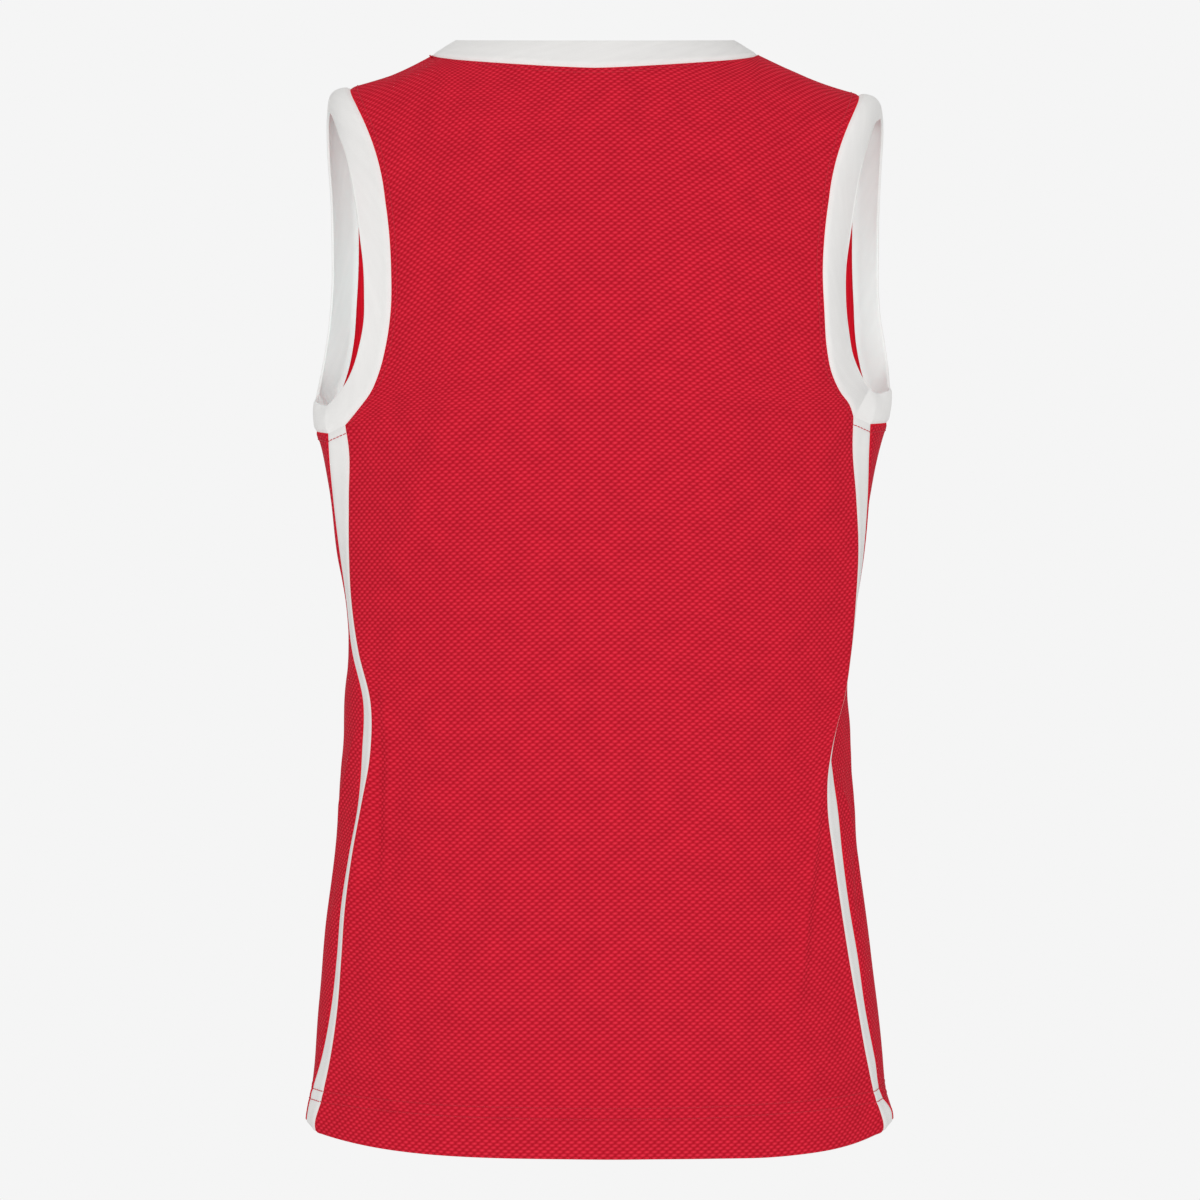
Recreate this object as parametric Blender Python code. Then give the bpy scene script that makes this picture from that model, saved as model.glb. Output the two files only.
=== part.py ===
"""Basketball jersey: a sleeveless mesh-knit body with ribbed neck and armhole bands and side stripes.

Everything is in metres with +Z up. The front faces -Y and the wearer's left side is at +X. The
origin lies midway between the shoulders, at the height where the straps rest on the wearer. The
jersey keeps its filled-out form and is hollow, with its neck, hem and armholes open.
The tables below are in millimetres, and each row of a table is one section or one fold.
"""

import bmesh
import bpy
import numpy as np

MM = 0.001

# Driving dimensions, in millimetres
HEM_HEIGHT = -745.0
UNDERARM_HEIGHT = -252.0
CLOTH_WALL = 1.5
HEM_WALL = 2.4
HEM_DEPTH = 29.0
BAND_WALL = 2.2
STRIPE_WIDTH = 18.0
SEAM_GAP = 0.34

# Neck opening: half the width, depth and height of the seam at the neck points, depth and height
# of the seam at the back and the front, and the same for the free edge of the neck band
NECK_CENTRE = 3.5
NECK_POINT = (115.0, 12.0, 13.6)
NECK_SEAM = {"back": (82.0, -6.4), "front": (-100.0, -105.0)}
NECK_EDGE_SIDE = (97.5, 12.0, 24.8)
NECK_EDGE = {"back": (74.0, 13.5), "front": (-94.0, -86.0)}
SHOULDER_TIP = {"left": (176.8, 2.0, -7.8), "right": (-183.2, 2.0, -12.4)}
SHOULDER_SAG = 2.6

# How round a section of the panels is, how late its height turns away from the centre's, and how
# the edges bow where the cloth turns over the shoulders
SECTION_ROUNDNESS = 2.6
EDGE_TURN = 6
YOKE_BOW = {"back": 9.0, "front": 4.0}
YOKE_EVEN = 0.45

# How much of the way to its free edge an armhole band keeps the cloth's direction, how much more
# where it rounds over the shoulder, and how much it is turned up there
BAND_LEAD = 0.5
SHOULDER_LEAD = 0.22
SHOULDER_LIFT = 0.45

# Sampling: the columns of a panel, a side insert and a stripe, and the rows of each stretch
PANEL_COLUMNS = 24
NECK_COLUMNS = 16
INSERT_COLUMNS = 6
BODY_ROWS = 17
ARMHOLE_ROWS = 7
YOKE_ROWS = 5
BAND_ROWS = 3

NECK_SHARE = NECK_COLUMNS / PANEL_COLUMNS

# Side seams at the back: height, across and depth of the panel's seam, then how far across the
# stripe's outer edge and the side of the body lie
BACK_FLANK = {
    "left": (
        (-745, 196.6, 48, 206.0, 206.2),
        (-737, 198.4, 50, 205.9, 206.1),
        (-719, 194.2, 52, 203.0, 204.5),
        (-691, 188.0, 55, 195.0, 202.0),
        (-655, 182.5, 58, 187.8, 199.3),
        (-620, 179.6, 60, 183.5, 196.5),
        (-584, 177.0, 60, 180.5, 193.0),
        (-549, 172.4, 60, 175.0, 189.6),
        (-513, 165.8, 60, 168.5, 185.3),
        (-478, 159.6, 60, 166.3, 181.0),
        (-442, 159.4, 58, 165.6, 180.2),
        (-407, 168.5, 48, 174.0, 178.3),
        (-371, 174.0, 42, 178.5, 179.6),
        (-336, 175.3, 46, 183.3, 186.0),
        (-300, 175.0, 50, 187.0, 191.2),
        (-265, 174.8, 53, 189.5, 197.4),
        (-250, 177.0, 55, 190.0, 201.2),
    ),
    "right": (
        (-745, 196.0, 47, 205.2, 205.4),
        (-737, 197.6, 48, 205.2, 205.4),
        (-727, 195.4, 50, 203.8, 204.4),
        (-718, 192.2, 52, 197.9, 203.2),
        (-691, 185.8, 55, 192.4, 201.0),
        (-655, 179.2, 57, 185.3, 197.0),
        (-620, 173.0, 58, 180.3, 192.5),
        (-584, 167.4, 58, 174.2, 187.2),
        (-549, 162.3, 58, 169.6, 183.0),
        (-513, 158.0, 58, 165.8, 178.5),
        (-492, 158.4, 58, 162.6, 176.0),
        (-478, 160.5, 57, 160.5, 175.2),
        (-457, 165.5, 52, 162.0, 174.6),
        (-442, 170.0, 47, 166.5, 174.5),
        (-407, 176.0, 40, 173.0, 178.0),
        (-371, 179.0, 42, 180.5, 182.6),
        (-336, 180.5, 45, 185.5, 187.0),
        (-300, 178.5, 50, 187.8, 191.5),
        (-265, 175.7, 53, 188.3, 197.5),
        (-244, 176.0, 56, 189.0, 203.0),
    ),
}
# Side seams at the front: height, across on the left and on the right, depth, and how far the
# stripe's outer edge lies beyond the seam
FRONT_FLANK = (
    (-745, 195.0, 194.0, -50, 10.0),
    (-719, 191.0, 190.0, -53, 10.0),
    (-655, 183.0, 181.0, -57, 8.0),
    (-584, 176.0, 171.5, -58, 6.0),
    (-513, 167.5, 165.5, -56, 8.0),
    (-442, 166.0, 166.0, -52, 8.0),
    (-371, 173.0, 176.0, -47, 6.0),
    (-300, 184.0, 186.0, -42, 6.0),
    (-241, 194.0, 196.5, -36, 6.0),
)
# How far the hem rises, and the height of the armhole seam, at the four seams of each flank:
# front panel to stripe, stripe to insert, insert to stripe, and stripe to back panel
FLANK_HEM_RISE = (4.5, 10.0, 10.0, 4.5)
FLANK_TOP = {
    "left": (-241.0, -249.0, -255.0, -250.0),
    "right": (-236.0, -243.5, -248.5, -244.0),
}
# Armhole seams from the underarm up to the yoke: height, across, depth
ARMHOLE = {
    "back": {
        "left": (
            (-250.0, 177.0, 55),
            (-240.0, 167.7, 64),
            (-227.0, 157.1, 75),
            (-213.6, 151.2, 81),
            (-200.0, 147.5, 84),
            (-173.0, 143.4, 86),
            (-145.6, 143.1, 86),
            (-118.0, 145.0, 80),
            (-89.5, 149.0, 70),
        ),
        "right": (
            (-244.0, 176.0, 56),
            (-237.0, 173.3, 61),
            (-227.0, 165.3, 70),
            (-213.6, 158.7, 79),
            (-200.0, 155.8, 83),
            (-173.0, 153.7, 86),
            (-145.6, 152.6, 86),
            (-118.0, 154.5, 80),
            (-89.5, 158.6, 70),
        ),
    },
    "front": {
        "left": (
            (-241.0, 194.0, -36),
            (-233.0, 193.2, -44),
            (-219.0, 189.3, -52),
            (-203.0, 184.7, -57.5),
            (-185.0, 181.4, -60.5),
            (-150.0, 178.7, -61.5),
        ),
        "right": (
            (-236.0, 196.5, -36),
            (-229.0, 196.5, -44),
            (-217.0, 194.6, -52),
            (-203.0, 191.5, -57.5),
            (-185.0, 188.4, -60.5),
            (-150.0, 186.2, -61.5),
        ),
    },
}
# Free edges of the armhole bands, from the underarm up the back and down the front: across,
# depth, height
FREE_EDGE = {
    "left": (
        (202.3, 8, -230.5),
        (194.1, 30, -234.4),
        (184.6, 49, -230.2),
        (177.5, 60, -223.1),
        (171.2, 68, -212.8),
        (166.0, 74, -197.7),
        (162.1, 78, -177.8),
        (161.8, 79, -160.8),
        (162.5, 78, -142.2),
        (164.7, 75, -123.2),
        (167.9, 69, -101.2),
        (171.6, 61, -81.4),
        (176.2, 51, -64.3),
        (183.3, 35, -45.4),
        (189.4, 17, -29.9),
        (193.6, 2, -27.3),
        (195.6, -13, -31.0),
        (196.4, -30, -53.9),
        (195.4, -43, -81),
        (195.0, -49, -116.5),
        (195.2, -51, -143.2),
        (197.0, -51, -168.4),
        (200.2, -49, -193.6),
        (202.4, -43, -207.4),
        (203.6, -27, -221.0),
        (203.2, -8, -228.0),
    ),
    "right": (
        (-206.0, 8, -222.5),
        (-196.8, 28, -225.9),
        (-190.4, 46, -225.8),
        (-183.2, 59, -219.7),
        (-176.2, 67, -206.5),
        (-171.6, 74, -188.5),
        (-169.5, 77, -173.1),
        (-168.8, 78, -157.5),
        (-169.2, 78, -142.1),
        (-172.0, 75, -120.5),
        (-175.7, 69, -98.2),
        (-179.5, 61, -78.5),
        (-185.0, 49, -59.5),
        (-193.2, 30, -37.2),
        (-197.8, 13, -32.0),
        (-201.3, -1, -31.2),
        (-203.0, -15, -36),
        (-203.2, -33, -60),
        (-202.5, -44, -94.6),
        (-202.7, -50, -127),
        (-202.7, -52, -143.1),
        (-204.1, -52, -165),
        (-207.1, -49, -185.2),
        (-209.0, -43, -202.6),
        (-208.6, -27, -216.0),
        (-207.6, -8, -220.5),
    ),
}
# Depth of the centre line: height, depth
CENTRE_LINE = {
    "back": (
        (-745, 128),
        (-680, 124),
        (-600, 118),
        (-500, 108),
        (-420, 106),
        (-340, 114),
        (-250, 124),
        (-180, 126),
        (-130, 121),
        (-89.5, 112),
    ),
    "front": (
        (-745, -122),
        (-680, -120),
        (-600, -117),
        (-500, -114),
        (-420, -115),
        (-340, -120),
        (-250, -124),
        (-200, -121),
        (-150, -112),
    ),
}
# How far the hem hangs below its height between the side seams: share across, drop
HEM_HANG = {
    "back": (
        (-1.0, 0.0),
        (-0.93, 2.0),
        (-0.82, 3.2),
        (-0.6, 3.3),
        (-0.4, 1.7),
        (-0.2, 0.8),
        (0.0, 0.7),
        (0.8, 0.7),
        (1.0, 0.0),
    ),
    "front": ((-1.0, 0.0), (-0.7, 0.6), (0.0, 0.6), (0.55, 2.0), (0.85, 1.6), (1.0, 0.0)),
}
HANG_REACH = 0.3
# Fullness of the turn over the shoulders: share of the way out from the centre line, fullness
YOKE_FULLNESS = ((0.0, 0.30), (0.33, 0.45), (0.66, 0.75), (1.0, 0.65))

# Largest soft folds of each panel: start across, start height, end across, end height, width and
# height of the ridge, which is a trough where it is negative
FOLDS = {
    "back": (
        (-155, -495, -136, -640, 15, 3.0),
        (150, -425, 146, -490, 13, -3.0),
        (147, -490, 155, -560, 13, -2.5),
        (92, -205, 134, -335, 18, 2.0),
        (-150, -170, -158, -345, 16, 1.5),
        (60, -560, 95, -700, 22, 1.5),
    ),
    "front": (
        (150, -480, 132, -620, 15, 3.0),
        (-148, -420, -144, -500, 13, -3.0),
        (-100, -220, -138, -340, 18, 2.5),
        (104, -230, 126, -360, 17, -2.0),
        (-70, -540, -105, -690, 22, 2.0),
    ),
}


def unit(vectors):
    return vectors / np.linalg.norm(vectors, axis=-1, keepdims=True)


def follow(table, column, at):
    """Reads a column of a table at the places AT of its first column, on a smooth cubic."""
    rows = np.array(table, float)
    knots, values = rows[:, 0], rows[:, column]
    slopes = np.gradient(values, knots)
    at = np.clip(at, knots[0], knots[-1])
    low = np.clip(np.searchsorted(knots, at, side="right") - 1, 0, len(knots) - 2)
    step = knots[low + 1] - knots[low]
    t = (at - knots[low]) / step
    start = (1 + 2 * t) * (1 - t) ** 2 * values[low] + t * (1 - t) ** 2 * step * slopes[low]
    end = t**2 * (3 - 2 * t) * values[low + 1] - t**2 * (1 - t) * step * slopes[low + 1]
    return start + end


def along_seam(table, share):
    """Height, across and depth at a share of an armhole seam's own length from the underarm."""
    rows = np.array(table, float)
    steps = np.linalg.norm(np.diff(rows, axis=0), axis=1)
    length = np.concatenate([[0.0], np.cumsum(steps)]) / steps.sum()
    keyed = np.column_stack([length, rows])
    return [follow(keyed, column, share) for column in (1, 2, 3)]


def seam_height(side, seam, level):
    """Height of one of the four flank seams: level 0 is the hem and level 1 the armhole seam."""
    low = HEM_HEIGHT + FLANK_HEM_RISE[seam]
    return low + np.clip(level, 0, 1) * (FLANK_TOP[side][seam] - low)


def panel_edge(face, side, level):
    """Across, depth and height of a panel's side edge: level 1 is the underarm, 2 the yoke."""
    height = seam_height(side, 3 if face == "back" else 0, level)
    if face == "back":
        across = follow(BACK_FLANK[side], 1, height)
        depth = follow(BACK_FLANK[side], 2, height)
    else:
        across = follow(FRONT_FLANK, 1 if side == "left" else 2, height)
        depth = follow(FRONT_FLANK, 3, height)
    upper = along_seam(ARMHOLE[face][side], np.clip(level - 1, 0, 1))
    above = level > 1
    return (
        np.where(above, upper[1], across),
        np.where(above, upper[2], depth),
        np.where(above, upper[0], height),
    )


def shoulder_line(face, across):
    """Top edge of a panel: the neck seam's arc, then the shoulder seam, which sags a little."""
    turn = np.clip(np.abs(across) / NECK_SHARE, 0, 1) * np.pi / 2
    run = np.clip((np.abs(across) - NECK_SHARE) / (1 - NECK_SHARE), 0, 1)
    depth, height = NECK_SEAM[face]
    rise = (1 - np.cos(turn)) ** (0.75 if face == "back" else 1.0)
    x = NECK_CENTRE + np.sign(across) * NECK_POINT[0] * np.sin(turn)
    y = NECK_POINT[1] + (depth - NECK_POINT[1]) * np.cos(turn)
    z = height + (NECK_POINT[2] - height) * rise
    line = np.stack([x, y, z], axis=-1)
    left, right = np.array(SHOULDER_TIP["left"]), np.array(SHOULDER_TIP["right"])
    tip = np.where((across >= 0)[:, None], left, right)
    line = line + (tip - line) * run[:, None]
    line[:, 2] -= SHOULDER_SAG * np.sin(np.pi * run)
    return line


def fold_relief(folds, x, z):
    """Sum of the soft folds: each a bell across its line that fades out towards both ends."""
    relief = np.zeros_like(x)
    for start_x, start_z, end_x, end_z, width, height in folds:
        run_x, run_z = end_x - start_x, end_z - start_z
        length = np.hypot(run_x, run_z)
        place = ((x - start_x) * run_x + (z - start_z) * run_z) / length**2
        aside = ((x - start_x) * run_z - (z - start_z) * run_x) / length
        past = np.maximum(np.abs(place - 0.5) - 0.3, 0) / 0.3
        relief += height * np.exp(-((aside / width) ** 2) - past**2)
    return relief


def body_section(face, across, level):
    """Rows of a panel below the yoke, up to level 2.

    Each row rounds away from the centre line as a power of the share across, up to its edges. The
    hem's hang dies out up the panel as a square.
    """
    u = across[None, :]
    level = level[:, None]
    left, right = panel_edge(face, "left", level), panel_edge(face, "right", level)
    edge_x, edge_y, edge_z = (np.where(u >= 0, one, other) for one, other in zip(left, right))
    body = HEM_HEIGHT + np.minimum(level, 1) * (UNDERARM_HEIGHT - HEM_HEIGHT)
    middle_z = np.where(level > 1, (left[2] + right[2]) / 2, body)
    x = u * edge_x
    z = middle_z + (edge_z - middle_z) * np.abs(u) ** EDGE_TURN
    z = z - follow(HEM_HANG[face], 1, u) * (1 - np.clip(level / HANG_REACH, 0, 1)) ** 2
    middle_y = follow(CENTRE_LINE[face], 1, z)
    y = middle_y - (middle_y - edge_y) * np.abs(u) ** SECTION_ROUNDNESS
    outward = 1.0 if face == "back" else -1.0
    y = y + outward * fold_relief(FOLDS[face], x, z) * (1 - np.abs(u) ** 8)
    return np.stack([x, y, z], axis=-1)


def panel(face, across, level):
    """Outer surface of the back or front panel, a row for each level and a column for each across.

    Over the yoke each column is a cubic arc that leaves the body along its own run and ends on the
    shoulder line.
    """
    section = body_section(face, across, np.minimum(level, 2))
    foot = body_section(face, across, np.array([1.96, 2.0]))
    start, top = foot[1], shoulder_line(face, across)
    halfway = (start + top) / 2
    corner = np.stack([halfway[:, 0], start[:, 1], top[:, 2]], axis=-1)
    fullness = follow(YOKE_FULLNESS, 1, np.abs(across))[:, None]
    pull = halfway + fullness * (corner - halfway)
    pull[:, 0] += YOKE_BOW[face] * np.sign(across) * np.abs(across) ** 3
    lead = (pull - start) * 2 / 3
    first = start + unit(foot[1] - foot[0]) * np.linalg.norm(lead, axis=-1, keepdims=True)
    second = top + (pull - top) * 2 / 3 + YOKE_EVEN * (start + lead - first)
    t = np.clip(level - 2, 0, 1)[:, None, None]
    arc = (1 - t) ** 3 * start + 3 * t * (1 - t) ** 2 * first + 3 * t**2 * (1 - t) * second + t**3 * top
    return np.where(level[:, None, None] > 2, arc, section)


def flank_seams(side, level):
    """The four seams of a flank, in order from the front panel round to the back panel."""
    heights = [seam_height(side, seam, level) for seam in range(4)]
    sign = 1.0 if side == "left" else -1.0
    column = 1 if side == "left" else 2
    front_x = [follow(FRONT_FLANK, column, height) for height in heights[:2]]
    front_y = [follow(FRONT_FLANK, 3, height) for height in heights[:2]]
    front_step = follow(FRONT_FLANK, 4, heights[1])
    table = BACK_FLANK[side]
    back_x = [follow(table, 1, height) for height in heights[2:]]
    back_y = [follow(table, 2, height) for height in heights[2:]]
    back_step = follow(table, 3, heights[2]) - back_x[0]
    seams = (
        (front_x[0], front_y[0], heights[0]),
        (front_x[1] + front_step, front_y[1] + np.sqrt(STRIPE_WIDTH**2 - front_step**2), heights[1]),
        (back_x[0] + back_step, back_y[0] - np.sqrt(STRIPE_WIDTH**2 - back_step**2), heights[2]),
        (back_x[1], back_y[1], heights[3]),
    )
    return [np.stack([sign * x, y, z], axis=-1) for x, y, z in seams]


def stripe(side, face, level):
    """A stripe's outer surface: straight across in every section."""
    seams = flank_seams(side, level)
    pair = seams[:2] if face == "front" else seams[2:]
    return np.stack(pair if side == "left" else pair[::-1], axis=1)


def insert(side, level):
    """A side insert's outer surface: each section bulges out to the side as a parabola."""
    seams = flank_seams(side, level)
    share = np.linspace(0, 1, INSERT_COLUMNS + 1)[None, :, None]
    surface = seams[1][:, None] * (1 - share) + seams[2][:, None] * share
    chord = (seams[1] + seams[2]) / 2
    sign = 1.0 if side == "left" else -1.0
    bulge = sign * follow(BACK_FLANK[side], 4, chord[:, 2]) - chord[:, 0]
    surface[..., 0] += bulge[:, None] * (1 - (2 * share[..., 0] - 1) ** 2)
    return surface if side == "left" else surface[:, ::-1]


def normals_of(surface, closed=False):
    """Outward unit normals: columns run anticlockwise seen from above, rows up or outward."""
    if closed:
        ring = np.concatenate([surface[:, -2:-1], surface, surface[:, 1:2]], axis=1)
        along = (ring[:, 2:] - ring[:, :-2]) / 2
    else:
        along = np.gradient(surface, axis=1)
    return unit(np.cross(along, np.gradient(surface, axis=0)))


def armhole_loop(side, pieces):
    """Seam of an armhole band, as a closed run of points, with the cloth's normals there.

    It crosses the underarm, climbs one panel's edge to the shoulder tip and comes down the other.
    """
    edges = {"back": 0 if side == "left" else -1, "front": -1 if side == "left" else 0}
    underarm = [f"stripe_front_{side}", f"side_insert_{side}", f"stripe_back_{side}"]
    climbed, descended = ("back", "front") if side == "left" else ("front", "back")
    runs = [(pieces[name], (-1, slice(None))) for name in (underarm if side == "left" else underarm[::-1])]
    runs.append((pieces[f"{climbed}_panel"], (slice(BODY_ROWS, None), edges[climbed])))
    runs.append((pieces[f"{descended}_panel"], (slice(None, BODY_ROWS - 1, -1), edges[descended])))
    points = [piece["surface"][place][:-1] for piece, place in runs]
    normals = [piece["normals"][place][:-1] for piece, place in runs]
    points.append(points[0][:1])
    normals.append(normals[0][:1])
    return np.concatenate(points), np.concatenate(normals)


def smoothed_ring(vectors, times):
    """Unit vectors round a closed run, each averaged with its neighbours."""
    ring = vectors[:-1]
    for _ in range(times):
        ring = unit(np.roll(ring, 1, axis=0) + 2 * ring + np.roll(ring, -1, axis=0))
    return np.concatenate([ring, ring[:1]])


def free_edge(side, points):
    """Free edge of an armhole band, a point for each point of its seam.

    Each row of the table stands over the place on the seam nearest to it, and a smooth closed
    curve runs through the rows.
    """
    rows = np.array(FREE_EDGE[side], float)
    steps = np.linalg.norm(np.diff(points, axis=0), axis=1)
    place = np.concatenate([[0.0], np.cumsum(steps)])
    fine = np.linspace(0, place[-1], 1500)
    seam = np.stack([np.interp(fine, place, points[:, axis]) for axis in range(3)], axis=-1)
    nearest = fine[np.linalg.norm(seam[None] - rows[:, None], axis=-1).argmin(axis=1)]
    keyed = np.column_stack([nearest, rows])[np.argsort(nearest)]
    before, after = keyed[-3:].copy(), keyed[:3].copy()
    before[:, 0] -= place[-1]
    after[:, 0] += place[-1]
    keyed = np.concatenate([before, keyed, after])
    return np.stack([follow(keyed, axis, place) for axis in (1, 2, 3)], axis=-1)


def armhole_band(side, points, normals):
    """Outer surface of an armhole band: quadratic arcs that carry the cloth on past the seam."""
    ring = np.concatenate([points[-2:-1], points, points[1:2]])
    tangent = unit(ring[2:] - ring[:-2])
    normals = smoothed_ring(normals, 2)
    outward = smoothed_ring(unit(np.cross(normals, tangent)), 4)
    over = np.clip(normals[:, 2:], 0, 1)
    outward = unit(outward + SHOULDER_LIFT * over * normals)
    edge = free_edge(side, points)
    reach = np.linalg.norm(edge - points, axis=1, keepdims=True)
    lead = BAND_LEAD + SHOULDER_LEAD * over
    pull = points + outward * reach * lead
    t = np.linspace(0, 1, BAND_ROWS + 1)[:, None, None]
    return (1 - t) ** 2 * points + 2 * t * (1 - t) * pull + t**2 * edge


def neck_band(back, front):
    """Outer surface of the neck band: from the seam to a free edge of two half ovals."""
    first = (PANEL_COLUMNS - NECK_COLUMNS) // 2
    columns = slice(first, first + NECK_COLUMNS + 1)
    seam = np.concatenate([front[-1, columns], back[-1, columns][1:]])
    turn = np.linspace(-np.pi / 2, np.pi / 2, NECK_COLUMNS + 1)
    halves = []
    for face, sign in (("front", 1), ("back", -1)):
        depth, height = NECK_EDGE[face]
        x = NECK_CENTRE + sign * NECK_EDGE_SIDE[0] * np.sin(turn)
        y = NECK_EDGE_SIDE[1] + (depth - NECK_EDGE_SIDE[1]) * np.cos(turn)
        z = NECK_EDGE_SIDE[2] + (height - NECK_EDGE_SIDE[2]) * np.cos(turn)
        halves.append(np.stack([x, y, z], axis=-1))
    edge = np.concatenate([halves[0], halves[1][1:]])
    share = np.linspace(0, 1, BAND_ROWS + 1)[:, None, None]
    return seam[None] * (1 - share) + edge[None] * share


def pulled_in(piece):
    """The piece's surface with each sewn edge moved half the seam gap in, square to the seam."""
    surface, normals = piece["surface"], piece["normals"]
    moved = surface.copy()
    places = {
        "bottom": ((0, slice(None)), (1, slice(None))),
        "top": ((-1, slice(None)), (-2, slice(None))),
        "first": ((slice(None), 0), (slice(None), 1)),
        "last": ((slice(None), -1), (slice(None), -2)),
    }
    for edge, inner in (places[seam] for seam in piece["seams"]):
        line = surface[edge]
        steps = unit(np.diff(line, axis=0))
        before = np.concatenate([steps[-1:] if piece["closed"] else steps[:1], steps])
        after = np.concatenate([steps, steps[:1] if piece["closed"] else steps[-1:]])
        tangent = unit(before + after)
        square = (tangent * after).sum(axis=1, keepdims=True)
        inward = unit(np.cross(normals[edge], tangent))
        inward *= np.sign((inward * (surface[inner] - line)).sum(axis=1, keepdims=True))
        moved[edge] += inward * SEAM_GAP / 2 / square
    return moved


def share_normals(pieces):
    """Gives points that several pieces have in common one normal, so that seams meet on a mitre."""
    shared = {}
    keys = {}
    for name, piece in pieces.items():
        places = np.round(piece["surface"].reshape(-1, 3) / 0.01).astype(int)
        keys[name] = [tuple(place) for place in places]
        for key, normal in zip(keys[name], piece["normals"].reshape(-1, 3)):
            shared[key] = shared.get(key, 0) + normal
    for name, piece in pieces.items():
        together = np.array([shared[key] for key in keys[name]])
        piece["normals"] = unit(together).reshape(piece["surface"].shape)


def material(name, colour, roughness):
    made = bpy.data.materials.new(name)
    made.use_nodes = True
    shader = made.node_tree.nodes["Principled BSDF"]
    shader.inputs["Base Color"].default_value = (*colour, 1.0)
    shader.inputs["Roughness"].default_value = roughness
    shader.inputs["Metallic"].default_value = 0.0
    return made


def shell(name, piece, collection):
    """One closed piece of cloth: a grid laid on its outer surface, then extruded in by its wall.

    The wall follows the shared normals, so that the rims of two sewn pieces stay parallel.
    """
    outer = pulled_in(piece) * MM
    depth = -piece["wall"] * piece["normals"] * MM
    rows, columns = outer.shape[0] - 1, outer.shape[1] - 1
    work = bmesh.new()
    bmesh.ops.create_grid(work, x_segments=columns, y_segments=rows, size=1.0)
    inward = work.verts.layers.float_vector.new("inward")
    for vertex in work.verts:
        row = round((vertex.co.y + 1) / 2 * rows)
        column = round((vertex.co.x + 1) / 2 * columns)
        vertex.co = outer[row, column]
        vertex[inward] = depth[row, column]
    if piece["closed"]:
        bmesh.ops.remove_doubles(work, verts=work.verts[:], dist=0.00001)
    wall = bmesh.ops.extrude_face_region(work, geom=work.faces[:])
    for element in wall["geom"]:
        if isinstance(element, bmesh.types.BMVert):
            element.co += element[inward]
    bmesh.ops.triangulate(work, faces=work.faces[:])
    bmesh.ops.recalc_face_normals(work, faces=work.faces[:])
    mesh = bpy.data.meshes.new(name)
    work.to_mesh(mesh)
    work.free()
    mesh.shade_smooth()
    mesh.set_sharp_from_angle(angle=np.radians(50))
    mesh.materials.append(material(name, *piece["finish"]))
    collection.objects.link(bpy.data.objects.new(name, mesh))


def body_levels():
    """Row levels below the underarm: the hem's turn-up is one row, and the rest are even."""
    turn_up = HEM_DEPTH / (UNDERARM_HEIGHT - HEM_HEIGHT)
    return np.concatenate([[0.0], np.linspace(turn_up, 1.0, BODY_ROWS)])


def make_pieces():
    """Outer surface, normals, wall, sewn edges and finish of every cut-and-sewn piece."""
    below = body_levels()
    armhole = 1 + np.arange(1, ARMHOLE_ROWS + 1) / ARMHOLE_ROWS
    yoke = 2 + np.arange(1, YOKE_ROWS + 1) / YOKE_ROWS
    level = np.concatenate([below, armhole, yoke])
    across = np.linspace(-1, 1, PANEL_COLUMNS + 1)
    wall = np.where(np.arange(len(level)) < 2, HEM_WALL, CLOTH_WALL)[:, None, None]
    sewn = ("first", "last", "top")
    red = ((0.53, 0.012, 0.03), 0.8)
    white = ((0.79, 0.78, 0.76), 0.85)
    pieces = {}

    def add(name, surface, wall, seams, finish, closed=False):
        pieces[name] = {
            "surface": surface,
            "normals": normals_of(surface, closed),
            "wall": wall,
            "seams": seams,
            "finish": finish,
            "closed": closed,
        }

    add("back_panel", panel("back", across[::-1], level), wall, sewn, red)
    add("front_panel", panel("front", across, level), wall, sewn, red)
    for side in ("left", "right"):
        for face in ("front", "back"):
            surface = stripe(side, face, below)
            add(f"stripe_{face}_{side}", surface, wall[: len(below)], sewn, white)
        add(f"side_insert_{side}", insert(side, below), wall[: len(below)], sewn, red)
        band = armhole_band(side, *armhole_loop(side, pieces))
        add(f"armhole_band_{side}", band, BAND_WALL, ("bottom",), white, closed=True)
    band = neck_band(pieces["back_panel"]["surface"], pieces["front_panel"]["surface"])
    add("neck_band", band, BAND_WALL, ("bottom",), white, closed=True)
    share_normals(pieces)
    return pieces


def main():
    for old in list(bpy.data.objects):
        bpy.data.objects.remove(old)
    collection = bpy.data.collections.new("basketball_jersey")
    bpy.context.scene.collection.children.link(collection)
    for name, piece in make_pieces().items():
        shell(name, piece, collection)


main()
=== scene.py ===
"""Basketball jersey: the cloth, stitching and studio stage built round the packed frame.

Everything is in metres with +Z up, the front faces -Y and the wearer's left side is at +X. The
tables are in millimetres, and each row of a table is one section, one fold or one crease. Every
piece of cloth is a grid of points on its outer surface, given its wall along its own normals.
"""

from collections import namedtuple
from functools import lru_cache

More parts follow.
